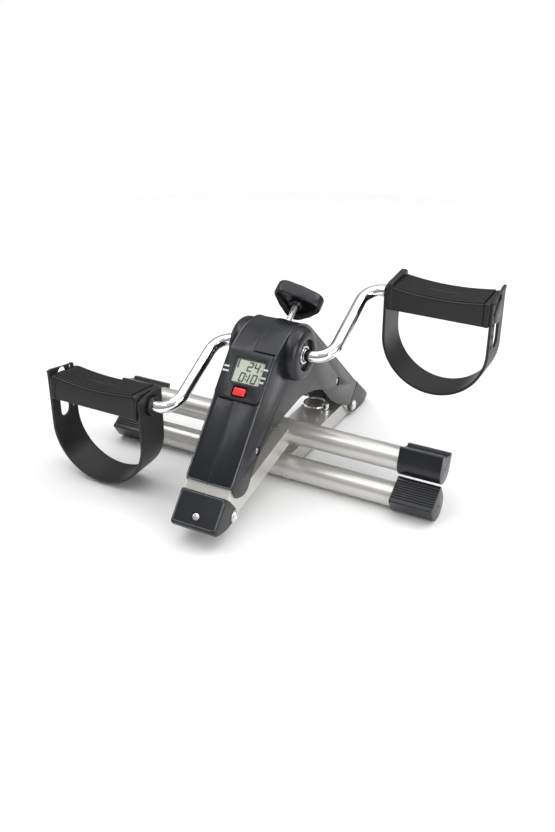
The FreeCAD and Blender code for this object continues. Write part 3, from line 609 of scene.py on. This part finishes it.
def screw_pocket():
    """The sunk mouth in the top of the shell where the tension screw goes in."""
    path = [Vector(rear(-178.5, FACE)), Vector(rear(-191.6, FACE)), Vector((14, CRANK.z + DRUM_TOP)),
            Vector((3.2, CRANK.z + DRUM_TOP))]
    out = normals(path)
    verts = [(x, *(path[n] + out[n] * depth))
             for depth in (3.3, 2.6) for n in range(4) for x in (-9.6, 21.6)]
    faces = []
    for n in range(3):
        a = 2 * n
        faces += [(a, a + 1, a + 3, a + 2), (a + 8, a + 10, a + 11, a + 9), (a, a + 2, a + 10, a + 8),
                  (a + 1, a + 9, a + 11, a + 3)]
    faces += [(0, 8, 9, 1), (6, 7, 15, 14)]
    made = tidy_normals(mesh_object("screw_mouth", verts, faces, SIDE_VIEW))
    return bevel(cut(made, drill(3.4, -9, 6, ON_SCREW)), 0.15, 2)


finish_piece(screw_pocket(), "frame", "black_plastic")


# ---------------------------------------------------------------- bearing covers
COVER_SCREWS = around(12.1, (90, 210, 330))


def cover(side, sign):
    """A round bearing cover with a soft outer edge and a sunk hub."""
    matrix = mirrored(ON_CRANK, sign)
    profile = [(7.4, 25.5), (27.5, 25.5), (27.5, 28.2)]
    for step in range(10):
        angle = math.radians(90 * step / 9)
        profile.append((20.5 + 7.0 * math.cos(angle) ** 0.9, 29.0 + 9.1 * math.sin(angle)))
    profile += [(17.2, 38.5), (16.3, 38.2), (15.7, 37.4), (15.5, 34.6), (9.8, 34.6), (9.8, 35.1),
                (7.4, 35.1)]
    made = lathe(f"cover_{side}", profile, matrix, "x", 96)
    return cut(made, *(drill(3.0, 32.6, 40, moved(matrix, 0, y, z), "x", 32) for y, z in COVER_SCREWS))


for side, sign in SIDES:
    finish_piece(cover(side, sign), "frame", "black_plastic", [f"bearing_cover_{side}"], 34)
    hub = [cross_head("head", 2.7, 1.9, moved(ON_CRANK, sign * 32.7, y, z), "x", sign)
           for y, z in COVER_SCREWS]
    hub.append(lathe("ring", [(7.6, 35.2), (9.6, 35.2), (9.6, 36.1), (9.0, 36.5), (7.6, 36.5)],
                     mirrored(ON_CRANK, sign), "x", 56))
    finish_piece(merge(f"cover_screws_{side}", hub), "frame", "zinc")


# ---------------------------------------------------------------- foot caps
def foot_shoe(name, shape, mouth, seat, hole):
    """An open-bottomed shoe on one end of the frame."""
    shell = pillow(name, rounded(shape), 25, 2.6, SIDE_VIEW)
    inner = slab("cutter", seat, -23.6, 23.6, SIDE_VIEW)
    swing = slab("cutter", mouth, -21.2, 21.2, SIDE_VIEW)
    return cut(shell, inner, swing, drill(4.05, -40, 40, moved(SIDE_VIEW, 0, *hole), "x", 32))


front_spot = (FRONT.y - CRANK.y, FRONT.z)
rear_spot = (REAR.y - CRANK.y, REAR.z)
front_shape = [(*front(-11, 27), 2.8), (*front(24, 27), 3.2), (*front(25.4, 20.5), 3), (*front(22, 13), 6),
               (*front(16, 4.5), 8), (*front(8, -2.5), 8), (*front(1, -8.5), 4), (*front(-5, -7), 4),
               (*front(-8.5, 1.5), 6), (*front(-11, 15), 3)]
front_mouth = [front(-15, 25), front(22, 25), front(23, 20.7), front(40, 22), front(20, -20),
               front(-15, -20)]
front_seat = [front(-20, 25), front(12, 25), front(12, -30), front(-20, -30)]
rear_shape = [(*rear(-10.6, 27), 2.8), (*rear(34, 28), 3.2), (*rear(36, 23), 4), (185.9, 0.05, 3),
              (171, 0.05, 3), (*rear(7, -7.5), 6), (*rear(-6, -10.4), 4), (*rear(-14, -6), 3),
              (*rear(-12.6, 10), 3)]
rear_mouth = [rear(-18, 25), rear(32, 26), rear(33, 16), rear(50, 5), rear(20, -30), rear(-18, -30)]
rear_seat = [rear(-20, 25), rear(12, 25), rear(12, -30), rear(-20, -30)]


for name, shape, mouth, seat, spot, matrix, screw_at, face in (
        ("front", front_shape, front_mouth, front_seat, front_spot, ON_FRONT, -12.6, 27.0),
        ("rear", rear_shape, rear_mouth, rear_seat, rear_spot, ON_REAR, 20.0, 27.8)):
    shoe = foot_shoe(f"foot_shoe_{name}", shape, mouth, seat, spot)
    dimple = [(0, face - 1.1), (4.6, face - 1.1), (4.9, face + 3), (0, face + 3)]
    cut(shoe, lathe("cutter", dimple, moved(matrix, 0, screw_at, 0), "z", 40))
    finish_piece(shoe, "frame", "black_plastic", [f"foot_cap_{name}"], 30)


def shoe_bead(place_at, low, high, low_height, high_height):
    """A fine raised bead round the upper face of a foot shoe. Its lighter grey colour is a painted highlight."""
    flat = rounded([(-23.0, low), (23.0, low), (23.0, high), (-23.0, high)], 3.0)
    dense = filled_in([flat[-1]] + flat)[:-1]
    slope = (high_height - low_height) / (high - low)
    path = [(x, along, low_height + (along - low) * slope) for x, along in dense]
    return bar("shoe_bead", path, 0.6, place_at, 10, closed=True)


beads = [shoe_bead(ON_FRONT, -21.4, 8.9, 26.75, 26.75), shoe_bead(ON_REAR, -8.6, 32.0, 26.8, 27.7)]
finish_piece(merge("shoe_beads", beads), "frame", "painted_highlight_edge", sharp=60)

heads = [cross_head("head", 3.7, 2.1, moved(ON_FRONT, 0, -12.6, 25.9)),
         cross_head("head", 3.7, 2.1, moved(ON_REAR, 0, 20.0, 26.7))]
finish_piece(merge("foot_screw_heads", heads), "frame", "zinc", ["foot_screws"])


# ---------------------------------------------------------------- pivot bolts
def pivot_bolt(name, spot):
    """A leg's pivot bolt with its washer and its hollow-headed end."""
    there = moved(SIDE_VIEW, 0, *spot)
    shank = lathe("shank", [(0, -24.9), (3.95, -24.9), (3.95, 24.9), (0, 24.9)], there, "x", 40)
    washer = lathe("washer", [(4.1, 25.02), (6.2, 25.02), (6.2, 25.55), (4.1, 25.55)], there, "x", 48)
    head = lathe("head", [(0, 24.9), (5.0, 24.9), (5.0, 26.2), (4.5, 27.0), (3.2, 27.5), (2.6, 27.55),
                          (2.2, 26.6), (0, 26.6)], there, "x", 48)
    return merge(name, [shank, washer, head])


for name, spot in (("front", front_spot), ("rear", rear_spot)):
    finish_piece(pivot_bolt(f"bolt_{name}", spot), "frame", "zinc", [f"pivot_bolt_{name}"])


def lock_nuts():
    """Domed hexagon nuts on the left ends of the pivot bolts."""
    made = []
    for spot in (front_spot, rear_spot):
        there = moved(SIDE_VIEW, 0, *spot)
        made.append(slab("nut", around(5.5, range(0, 360, 60)), -27.4, -25.05, there, width=0.5))
        dome = [(0, -27.58), (3.0, -27.58), (3.9, -27.1), (3.9, -26.5), (0, -26.5)]
        made.append(lathe("ring", dome, there, "x", 40))
    return merge("bolt_nuts", made)


finish_piece(lock_nuts(), "frame", "zinc", ["pivot_nuts"])


# ---------------------------------------------------------------- display
LCD_WIDE, LCD_TALL, LCD_ASIDE, LCD_UP = 32.2, 25.6, 3.2, 4.7
BUTTON_WIDE, BUTTON_TALL, BUTTON_ASIDE, BUTTON_UP = 12.4, 7.6, 1.6, -16.6
ON_LCD = moved(ON_DISPLAY, LCD_ASIDE, 0, 0)
ON_WINDOW = moved(ON_LCD, 0, LCD_UP, 0)
ON_BUTTON = moved(ON_DISPLAY, BUTTON_ASIDE, BUTTON_UP, 0)
INK_LOW, INK_HIGH = 1.08, 1.2


def block(name, half_x, half_y, low, high, matrix, corner=0.0):
    """A low box with rounded corners."""
    return slab(name, rounded(rectangle(half_x, half_y), corner), low, high, matrix, "z")


def display_cover():
    """The display's plate with its LCD window, the rim behind it and the button's well."""
    outline = rounded([(-24.5, -25, 5.5), (24.5, -25, 5.5), (24.5, 25, 1.2), (-24.5, 25, 1.2)])
    made = bevel(slab("display_cover", outline, 0.02, 3.0, ON_DISPLAY, "z"), 0.8, 4, 50)
    half, tall = LCD_WIDE / 2, LCD_TALL / 2
    cut(made, block("cutter", half, tall, -3, 5, ON_WINDOW),
        block("cutter", BUTTON_WIDE / 2 + 1.7, BUTTON_TALL / 2 + 1.7, -3, 5, ON_BUTTON, 2.4))
    made = bevel(made, 0.25, 2, 60)
    rim = block("rim", half + 1.4, tall + 1.4, -1.9, 0.3, ON_WINDOW)
    cut(rim, block("cutter", half - 0.9, tall - 0.9, -5, 5, ON_WINDOW))
    well = block("well", BUTTON_WIDE / 2 + 2.6, BUTTON_TALL / 2 + 2.3, -1.9, 0.1, ON_BUTTON, 1)
    cut(well, block("cutter", BUTTON_WIDE / 2 + 0.1, BUTTON_TALL / 2 + 0.1, -5, 5, ON_BUTTON, 1))
    return merge("display_cover", [made, rim, well])


finish_piece(display_cover(), "frame", "black_plastic", ["display_bezel"], 40)

screen = bevel(block("screen", LCD_WIDE / 2 - 0.95, LCD_TALL / 2 - 0.95, -0.6, 1.1, ON_WINDOW), 0.1, 1)
finish_piece(screen, "frame", "lcd", ["lcd_panel"])
# A dark frame inside the LCD window, wider at the left and top: painted shadow of the window's inner walls.
window_shade = block("display_painted_shade", LCD_WIDE / 2 - 0.06, LCD_TALL / 2 - 0.06, 0.4, 1.35, ON_WINDOW)
inside = moved(ON_WINDOW, 0.3, -0.2, 0)
cut(window_shade, block("cutter", LCD_WIDE / 2 - 1.4, LCD_TALL / 2 - 1.4, -3, 5, inside, 0.4))
# A darker ring in the gap round the reset button: painted shade of its recess.
button_shade = block("button_painted_shade", BUTTON_WIDE / 2 + 1.6, BUTTON_TALL / 2 + 1.6, 0.12, 0.5, ON_BUTTON, 2.3)
cut(button_shade, block("cutter", BUTTON_WIDE / 2 + 0.1, BUTTON_TALL / 2 + 0.1, -5, 5, ON_BUTTON, 1))
finish_piece(merge("display_painted_shade", [window_shade, button_shade]), "frame", "ink_and_painted_shade")
glass = bevel(block("display_glass", LCD_WIDE / 2 - 0.1, LCD_TALL / 2 - 0.1, 1.5, 2.3, ON_WINDOW), 0.15, 2)
finish_piece(glass, "frame", "lcd_glass", ["display_lens"])
press = bevel(block("button_cap", BUTTON_WIDE / 2, BUTTON_TALL / 2, 0.5, 4.1, ON_BUTTON, 0.9), 0.7, 4, 50)
finish_piece(press, "reset_button", "red_plastic", ["reset_button"])

SEGMENTS = {"a": ((0, 1), (1, 1)), "b": ((1, 1), (1, .5)), "c": ((1, .5), (1, 0)), "d": ((0, 0), (1, 0)),
            "e": ((0, .5), (0, 0)), "f": ((0, 1), (0, .5)), "g": ((0, .5), (1, .5))}
DIGITS = {"0": "abcdef", "1": "bc", "2": "abged", "4": "fgbc"}


def lcd_bars(digit, x, y, wide, tall, thick):
    """The lit bars of one seven-bar digit, leaning a little."""
    made = []
    for name in DIGITS[digit]:
        (ax, ay), (bx, by) = SEGMENTS[name]
        a = Vector((x + ax * wide + 0.12 * ay * tall, y + ay * tall))
        b = Vector((x + bx * wide + 0.12 * by * tall, y + by * tall))
        along = (b - a).normalized()
        across = Vector((-along.y, along.x)) * thick / 2
        a2, b2 = a - along * thick * 0.4, b + along * thick * 0.4
        tip = along * thick * 0.35
        points = [a2, a2 + tip + across, b2 - tip + across, b2, b2 - tip - across, a2 + tip - across]
        made.append(slab("bar", [tuple(p) for p in points], INK_LOW, INK_HIGH, ON_LCD, "z"))
    return made


def display_ink():
    """Two rows of digits with a colon, a short scale and two arrows."""
    bars = []
    for digit, x, y in (("2", -2.2, 5.9), ("4", 4.9, 5.9), ("0", -7.6, -5.5), ("1", -2.6, -5.5),
                        ("0", 5.4, -5.5)):
        bars += lcd_bars(digit, x, y, 4.3, 8.4, 1.45)
    for y in (-3.1, 0.5):
        bars.append(block("dot", 0.8, 0.8, INK_LOW, INK_HIGH, moved(ON_LCD, -0.4, y, 0)))
    for step in range(4):
        bars.append(block("mark", 1.0, 0.95, INK_LOW, INK_HIGH, moved(ON_LCD, -12.7, 8.0 + step * 2.2, 0)))
    for y in (8.6, 0.4):
        point = [(14.2, y), (12.5, y + 1.0), (12.5, y - 1.0)]
        bars.append(slab("arrow", point, INK_LOW, INK_HIGH, ON_LCD, "z"))
    return merge("display_digits", bars)


finish_piece(display_ink(), "frame", "ink_and_painted_shade")


def printed_marks():
    """Short generic dashes beside the display, where a real one has its mode names."""
    made = []
    for x, y, widths in ((19.2, 9.0, (1.5, 1.1, 1.2)), (19.2, 0.6, (1.1, 0.7, 1.2, 0.6)),
                         (19.2, -4.0, (1.4, 1.2, 0.6)), (-22.8, 5.2, (1.5, 1.5, 1.6)),
                         (-23.2, 0.6, (1.4, 1.2, 1.5, 1.3))):
        for width in widths:
            dash = [(x, y), (x + width, y), (x + width, y + 1.9), (x, y + 1.9)]
            made.append(slab("dash", dash, 2.98, 3.03, ON_DISPLAY, "z"))
            x += width + 0.35
    return merge("display_marks", made)


finish_piece(printed_marks(), "frame", "print_white")


# ---------------------------------------------------------------- tension knob
def knob():
    """A rounded three-cornered knob with a hollow underside and a hub.

    Each ring is a height, a reach and how far it goes from round (0) to three-cornered (1).
    """
    rings = [(24.6, 3.4, 0), (19.4, 3.4, 0), (18.5, 3.9, 0), (18.4, 6.0, 0), (19.2, 6.9, 0), (23.6, 7.6, 0),
             (24.6, 9.5, 0.3), (24.6, 14.0, 0.8), (23.8, 18.4, 1), (20.6, 20.4, 1), (19.5, 21.2, 1),
             (19.3, 22.1, 1), (19.7, 22.9, 1), (20.6, 23.3, 1), (31.4, 23.2, 1), (33.2, 22.7, 1),
             (34.4, 21.6, 1), (35.1, 20.0, 1), (35.3, 17.8, 1), (35.3, 9.0, 0.6), (35.2, 2.0, 0)]
    steps = 144
    verts = []
    for height, reach, cornered in rings:
        for step in range(steps):
            angle = 2 * math.pi * step / steps
            turn = 3 * (angle + math.radians(7))
            share = 1 + cornered * (0.168 * math.cos(turn) + 0.038 * math.cos(2 * turn))
            verts.append((reach * share * math.cos(angle), reach * share * math.sin(angle), height))
    faces = ring_faces(len(rings), steps) + end_faces(len(rings), steps)
    return tidy_normals(mesh_object("knob", verts, faces, ON_SCREW))


finish_piece(knob(), "tension_knob", "black_plastic", ["tension_knob"], 40)

ROD_LOW, ROD_HIGH = -17.5, 24.4
rod_core = drill(2.8, ROD_LOW, ROD_HIGH, ON_SCREW, segments=40)
threads = bar("threads", helix(2.76, ROD_LOW + 0.6, ROD_HIGH - 1.6, 1.1, 28), 0.22, ON_SCREW, 8)
finish_piece(merge("threaded_rod", [rod_core, threads]), "tension_knob", "zinc", ["tension_screw"], 50)


# ---------------------------------------------------------------- pedals
PEDAL_IN, PEDAL_OUT = 96.0, 195.0
RIB_COUNT, RIB_GAP = 8, 5.0
STATIONS = 25


def pedal_place(side, sign):
    """A pedal's axle. The left pedal is the right one turned half round."""
    spot = joint_place(f"pedal_turn_{side}")
    spot.x = 0
    return place(spot) @ Matrix.Diagonal((sign, sign, 1, 1))


def spread(start, end):
    """Evenly spaced places along the pedal."""
    return [start + (end - start) * n / (STATIONS - 1) for n in range(STATIONS)]


def sag(x):
    """How far the tread dips between its ends."""
    share = (x - PEDAL_IN) / (PEDAL_OUT - PEDAL_IN)
    return -4.2 * (1 - (2 * share - 1) ** 2)


def pedal_block(side, matrix):
    """The pedal's box with its dished top, long side walls and open underside."""
    section = rounded([(-20.6, -11, 1.2), (20.6, -11, 1.2), (21, 13.0, 2.2), (-21, 13.0, 2.2)])
    count = len(section)
    verts = [(x, y, z + 1.0 + sag(x) if z > 6 else z)
             for x in spread(PEDAL_IN + 1.5, 191.2) for y, z in section]
    faces = end_faces(STATIONS, count) + ring_faces(STATIONS, count)
    made = tidy_normals(mesh_object(f"block_{side}", verts, faces, matrix))
    inside = [(-17.5, -20), (17.5, -20), (17.5, 2.5), (-17.5, 2.5)]
    hollow = slab("cutter", inside, PEDAL_IN + 4.5, 188, matrix)
    barrel = [(8.5, PEDAL_IN + 2), (11.2, PEDAL_IN + 2), (11.2, 190.5), (8.5, 190.5)]
    cut(made, hollow, drill(8.4, 60, 210, matrix, "x", 48))
    return [made, lathe("barrel", barrel, matrix, "x", 48)]


def end_plate(low, high, points, matrix, dimples=()):
    """A pedal's end plate, with dimples round the axle on the inner one."""
    plate = slab("plate", rounded(points), low, high, matrix, width=1.1, segments=4)
    cut(plate, drill(8.4, 60, 210, matrix, "x", 48))
    return cut(plate, *(drill(2.4, low - 2, low + 1.6, moved(matrix, 0, y, z), "x", 24)
                        for y, z in dimples))


def tread(side, matrix):
    """Long rubber ribs that follow the dished top."""
    made = []
    for number in range(RIB_COUNT):
        middle = RIB_GAP * (number - (RIB_COUNT - 1) / 2)
        section = [(middle - 1.6, 11.2), (middle + 1.6, 11.2), (middle + 1.6, 14.9), (middle + 0.9, 15.6),
                   (middle - 0.9, 15.6), (middle - 1.6, 14.9)]
        verts = [(x, y, z + sag(x)) for x in spread(PEDAL_IN + 2.6, 191.0) for y, z in section]
        faces = end_faces(STATIONS, len(section)) + ring_faces(STATIONS, len(section))
        made.append(tidy_normals(mesh_object("rib", verts, faces, matrix)))
    return merge(f"tread_{side}", made)


STRAP_IN, STRAP_OUT, STRAP_DEPTH = 89.9, 199.1, 95.0
STRAP_WIDE, STRAP_THICK = 38.8, 2.7


def strap_line():
    """The middle line of the strap: down at the inner hub, round below the pedal, up past the outer hub."""
    half = (STRAP_OUT - STRAP_IN) / 2
    middle = (STRAP_IN + STRAP_OUT) / 2
    drop = -(STRAP_DEPTH - 1.4 - half)
    line = [(STRAP_IN, 13.5), (STRAP_IN, 6), (STRAP_IN, -6), (STRAP_IN, -20)]
    for step in range(33):
        angle = math.pi * step / 32
        line.append((middle - half * math.cos(angle), drop - half * math.sin(angle)))
    return line + [(STRAP_OUT, -20), (STRAP_OUT, -6), (STRAP_OUT, 6), (STRAP_OUT, 14),
                   (STRAP_OUT + 0.3, 18), (STRAP_OUT + 0.6, 22.6)]


def band(side, matrix):
    """The strap as a band of even thickness whose outer end rises into an ear at the back."""
    line = [Vector(p) for p in strap_line()]
    count = len(line)
    across = 12
    out = normals(line)
    verts = []
    for layer in (1, -1):
        for n in range(count):
            for step in range(across + 1):
                share = step / across
                spot = line[n] + out[n] * STRAP_THICK / 2 * layer
                if n >= count - 3:
                    ear = -7.6 + 7.7 * share ** 1.3 - 1.6 * max(0, share - 0.85) / 0.15
                    spot.y += ear * (n - (count - 4)) / 3
                if n <= 1:
                    spot.y += (2 - n) * -1.2 * abs(2 * share - 1) ** 3
                verts.append((spot.x, STRAP_WIDE * (share - 0.5), spot.y))
    wide = across + 1
    layer_size = count * wide
    faces = []
    for n in range(count - 1):
        for step in range(across):
            a = n * wide + step
            faces.append((a, a + 1, a + wide + 1, a + wide))
            a += layer_size
            faces.append((a, a + wide, a + wide + 1, a + 1))
        for step in (0, across):
            a = n * wide + step
            faces.append((a, a + wide, a + wide + layer_size, a + layer_size))
    for n in (0, count - 1):
        for step in range(across):
            a = n * wide + step
            faces.append((a, a + 1, a + 1 + layer_size, a + layer_size))
    made = tidy_normals(mesh_object(f"strap_{side}", verts, faces, matrix))
    slot = rounded([(-7.4, -38), (7.4, -38), (7.4, 17.8), (-7.4, 17.8)], 7.3)
    cutters = [slab("cutter", slot, STRAP_OUT - 6, STRAP_OUT + 8, matrix),
               drill(10.6, 80, 100, matrix, "x", 48)]
    for z in (13, 2, -9.5, -21, -32.5):
        cutters.append(drill(2.2, STRAP_OUT - 6, STRAP_OUT + 6, moved(matrix, 0, -14.2, z), "x", 20))
    cut(made, *cutters)
    return bevel(made, 0.5, 3, 55)


# How far each pedal's block leans back, in degrees, and the height of its inner plate's corners.
LEAN = {"left": 8.0, "right": 0.0}
INNER_TAB = {"left": (14.6, 14.6), "right": (20.5, 18.0)}
for side, sign in SIDES:
    matrix = pedal_place(side, sign)
    back_tab, front_tab = INNER_TAB[side]
    inner = [(-21.5, -11, 2), (21.5, -11, 2), (21.5, back_tab, 5), (-21.5, front_tab, 4)]
    outer = [(-21.5, -11, 2), (21.5, -11, 2), (21.5, 14.0, 2.5), (-21.5, 14.0, 2)]
    leaning = matrix @ Matrix.Rotation(math.radians(LEAN[side]), 4, "X")
    pieces = pedal_block(side, leaning)
    pieces.append(end_plate(92.0, 98.0, inner, leaning, around(12.2, (0, 90, 180, 270))))
    pieces.append(end_plate(191.5, 197.5, outer, leaning))
    block_piece = merge(f"block_{side}", pieces)
    finish_piece(block_piece, f"pedal_{side}", "pedal_plastic", [f"pedal_body_{side}"], 36)
    finish_piece(tread(side, leaning), f"pedal_{side}", "tread_rubber", [f"pedal_tread_{side}"], 30)
    finish_piece(band(side, matrix), f"pedal_{side}", "strap_rubber", [f"pedal_strap_{side}"], 40)
    disc = [(6.6, 197.6), (8.0, 197.6), (8.0, 200.5), (12.2, 200.5), (12.2, 200.9), (11.5, 201.3),
            (0, 201.38), (0, 199.4), (6.6, 199.4)]
    cap = lathe(f"hub_disc_{side}", disc, matrix, "x", 64)
    finish_piece(cap, "crank", "pedal_plastic", [f"spindle_cap_{side}"], 36)
    ring = [(6.45, 84.0), (8.2, 84.0), (9.4, 85.2), (9.4, 91.8), (6.45, 91.8)]
    collar = lathe(f"hub_collar_{side}", ring, matrix, "x", 56)
    finish_piece(collar, f"pedal_{side}", "pedal_plastic", (), 36)


# ---------------------------------------------------------------- cross tube ends
TUBE_END_R = 15.0


def tube_end(name, matrix, grooved, nodes, body):
    """An arch-section cap: a flat foot with raised edges or fine grooves, and a domed back."""
    points = [(-TUBE_END_R, 0, 0)]
    if grooved:
        top, bottom = 15.1, 14.4
        points.append((-TUBE_END_R, top, 1.6))
        for number in range(8):
            middle = -9.45 + 2.7 * number
            points += [(middle - 0.55, top), (middle - 0.3, bottom), (middle + 0.3, bottom),
                       (middle + 0.55, top)]
        points.append((TUBE_END_R, top, 1.6))
    else:
        top, bottom = 15.2, 13.2
        points += [(-TUBE_END_R, top, 1.2), (-9.2, top, 1.2), (-8.6, bottom, 0.5), (8.6, bottom, 0.5),
                   (9.2, top, 1.2), (TUBE_END_R, top, 1.2)]
    points.append((TUBE_END_R, 0, 0))
    section = rounded(points) + around(TUBE_END_R, [-7.5 * step for step in range(1, 24)])
    made = slab(name, section, 142.7, 187.5, matrix, width=0.7, segments=3)
    dimple = lathe("cutter", [(0, 186.9), (1.3, 186.9), (1.5, 190), (0, 190)], matrix, "x", 24)
    cut(made, drill(12.75, 140, 184.5, matrix, "x", 64), dimple)
    return finish_piece(made, body, "black_plastic", nodes, 30)


def tube_middle(end):
    """The middle of a cross tube, in millimetres."""
    low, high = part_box(f"cross_tube_{end}")
    middle = (low + high) / 2 / MM
    middle.x = 0
    return middle


TILTS = {"front": -18.0, "rear": 32.7}
for end in ("front", "rear"):
    for side, sign in SIDES:
        matrix = mirrored(place(tube_middle(end), turn=TILTS[end]), sign)
        tube_end(f"end_cap_{end}_{side}", matrix, end == "rear", [f"tube_end_{end}_{side}"], f"leg_{end}")


# ---------------------------------------------------------------- legs: welds, springs and rings
def weld_bead(name, end):
    """Short rippled runs of weld above and below the tube where it leaves the leg's side."""
    there = place(tube_middle(end))
    made = []
    for sign in (-1, 1):
        for start in (205, 25):
            path = []
            for step in range(31):
                angle = math.radians(start + 50 * step / 30)
                radius = 12.7 + 0.2 * math.sin(step * 1.6)
                path.append((sign * (LEG_HALF + 0.2), radius * math.cos(angle), radius * math.sin(angle)))
            made.append(bar("bead", path, 0.8, there, 10))
    return merge(name, made)


LEG_HALF, EYE_RISE, RING_R, RING_WIRE = 20.5, 16.6, 13, 0.66
for end in ("front", "rear"):
    finish_piece(weld_bead(f"weld_{end}", end), f"leg_{end}", "weld", (), 60)
    pull = Vector(JOINTS[f"lock_pull_{end}"]["axis"])
    hinge = joint_place(f"ring_swing_{end}")
    on_ring = place(hinge, pull)
    on_pin = moved(on_ring, 0, 0, -EYE_RISE)
    coil = bar(f"coil_{end}", helix(4.0, -0.2, 7.3, 1.5, 24), 0.5, on_pin, 10)
    finish_piece(coil, f"leg_{end}", "zinc", [f"pin_spring_{end}"], 60)
    turns = enumerate(around(RING_R, range(0, 720, 4)))
    ring_path = [(x - RING_R, y, 0.62 if n < 90 else -0.62) for n, (x, y) in turns]
    ring = bar(f"split_ring_{end}", ring_path, RING_WIRE, on_ring, 12)
    finish_piece(ring, f"pull_ring_{end}", "chrome", [f"pull_ring_{end}"], 60)

# ---------------------------------------------------------------- finishes of the CAD pieces that stay
for row in frame["record"]["subparts"]:
    item = frame["nodes"][row["node"]]
    item.data.materials.clear()
    item.data.materials.append(MATERIALS[row["material_slot"]])


# ---------------------------------------------------------------- floor, light and camera
FLOOR_REACH = 1.05
floor_rim = [(x, y, 0) for x, y in around(FLOOR_REACH, [3.75 * n for n in range(96)])]
floor = mesh_object("floor", floor_rim, [tuple(range(96))])
floor.data.materials.append(material("studio_floor", (0.84, 0.84, 0.84), (0.88, 0.88, 0.88), 0.6, 0.05,
                                     speck=40, bump=0.0, blotch=0.6))

world = bpy.data.worlds.new("studio")
bpy.context.scene.world = world
world.use_nodes = True
sky = world.node_tree
room = sky.nodes["Background"]
room.inputs["Strength"].default_value = 0.62
spot = node(sky, "ShaderNodeTexCoord")
split = node(sky, "ShaderNodeSeparateXYZ")
ramp = colour_ramp(sky, 0.0, (0.30, 0.31, 0.33), 0.75, (1.0, 1.0, 1.0))
backdrop = node(sky, "ShaderNodeBackground", Color=(1, 1, 1, 1), Strength=1.0)
seen = node(sky, "ShaderNodeLightPath")
choose = node(sky, "ShaderNodeMixShader")
for start, end in ((spot.outputs["Generated"], split.inputs["Vector"]),
                   (split.outputs["Z"], ramp.inputs["Fac"]),
                   (ramp.outputs["Color"], room.inputs["Color"]),
                   (seen.outputs["Is Camera Ray"], choose.inputs["Fac"]),
                   (room.outputs["Background"], choose.inputs[1]),
                   (backdrop.outputs["Background"], choose.inputs[2]),
                   (choose.outputs["Shader"], sky.nodes["World Output"].inputs["Surface"])):
    sky.links.new(start, end)
bpy.context.scene.view_settings.view_transform = "Standard"


def softbox(name, spot, aim, width, height, power):
    """A rectangular studio light."""
    data = bpy.data.lights.new(name, "AREA")
    data.shape = "RECTANGLE"
    data.size, data.size_y = width, height
    data.energy = power
    made = bpy.data.objects.new(name, data)
    made.location = spot
    made.rotation_euler = (Vector(aim) - Vector(spot)).to_track_quat("-Z", "Y").to_euler()
    bpy.context.scene.collection.objects.link(made)


softbox("overhead", (0.1, 0.2, 2.2), (0, 0, 0), 2.6, 2.6, 30)
softbox("key", (0.9, 0.7, 1.4), (0, 0, 0.1), 0.9, 0.6, 7)
softbox("side", (1.6, -0.5, 0.8), (0, 0, 0.1), 0.9, 0.9, 8)
softbox("strip", (-0.70, -0.50, 1.45), (0, 0, 0.05), 2.4, 0.10, 7)
softbox("edge", (1.30, -0.95, 0.55), (0, 0, 0.08), 0.10, 1.4, 7)
softbox("fill", (-1.7, -0.2, 0.7), (0, 0, 0.1), 0.8, 0.8, 3)

AZIMUTH, ELEVATION, DISTANCE = math.radians(27.6), math.radians(28.4), 1.012
SENSOR, LENS = 36, 43.27
TARGET = Vector((0.0165, -0.0394, 0.080))
back = Vector((math.sin(AZIMUTH) * math.cos(ELEVATION), -math.cos(AZIMUTH) * math.cos(ELEVATION),
               math.sin(ELEVATION)))
camera_data = bpy.data.cameras.new("camera")
camera_data.sensor_width = SENSOR
camera_data.lens = LENS
camera = bpy.data.objects.new("camera", camera_data)
camera.location = TARGET + back * DISTANCE
camera.rotation_euler = (-back).to_track_quat("-Z", "Y").to_euler()
bpy.context.scene.collection.objects.link(camera)
bpy.context.scene.camera = camera
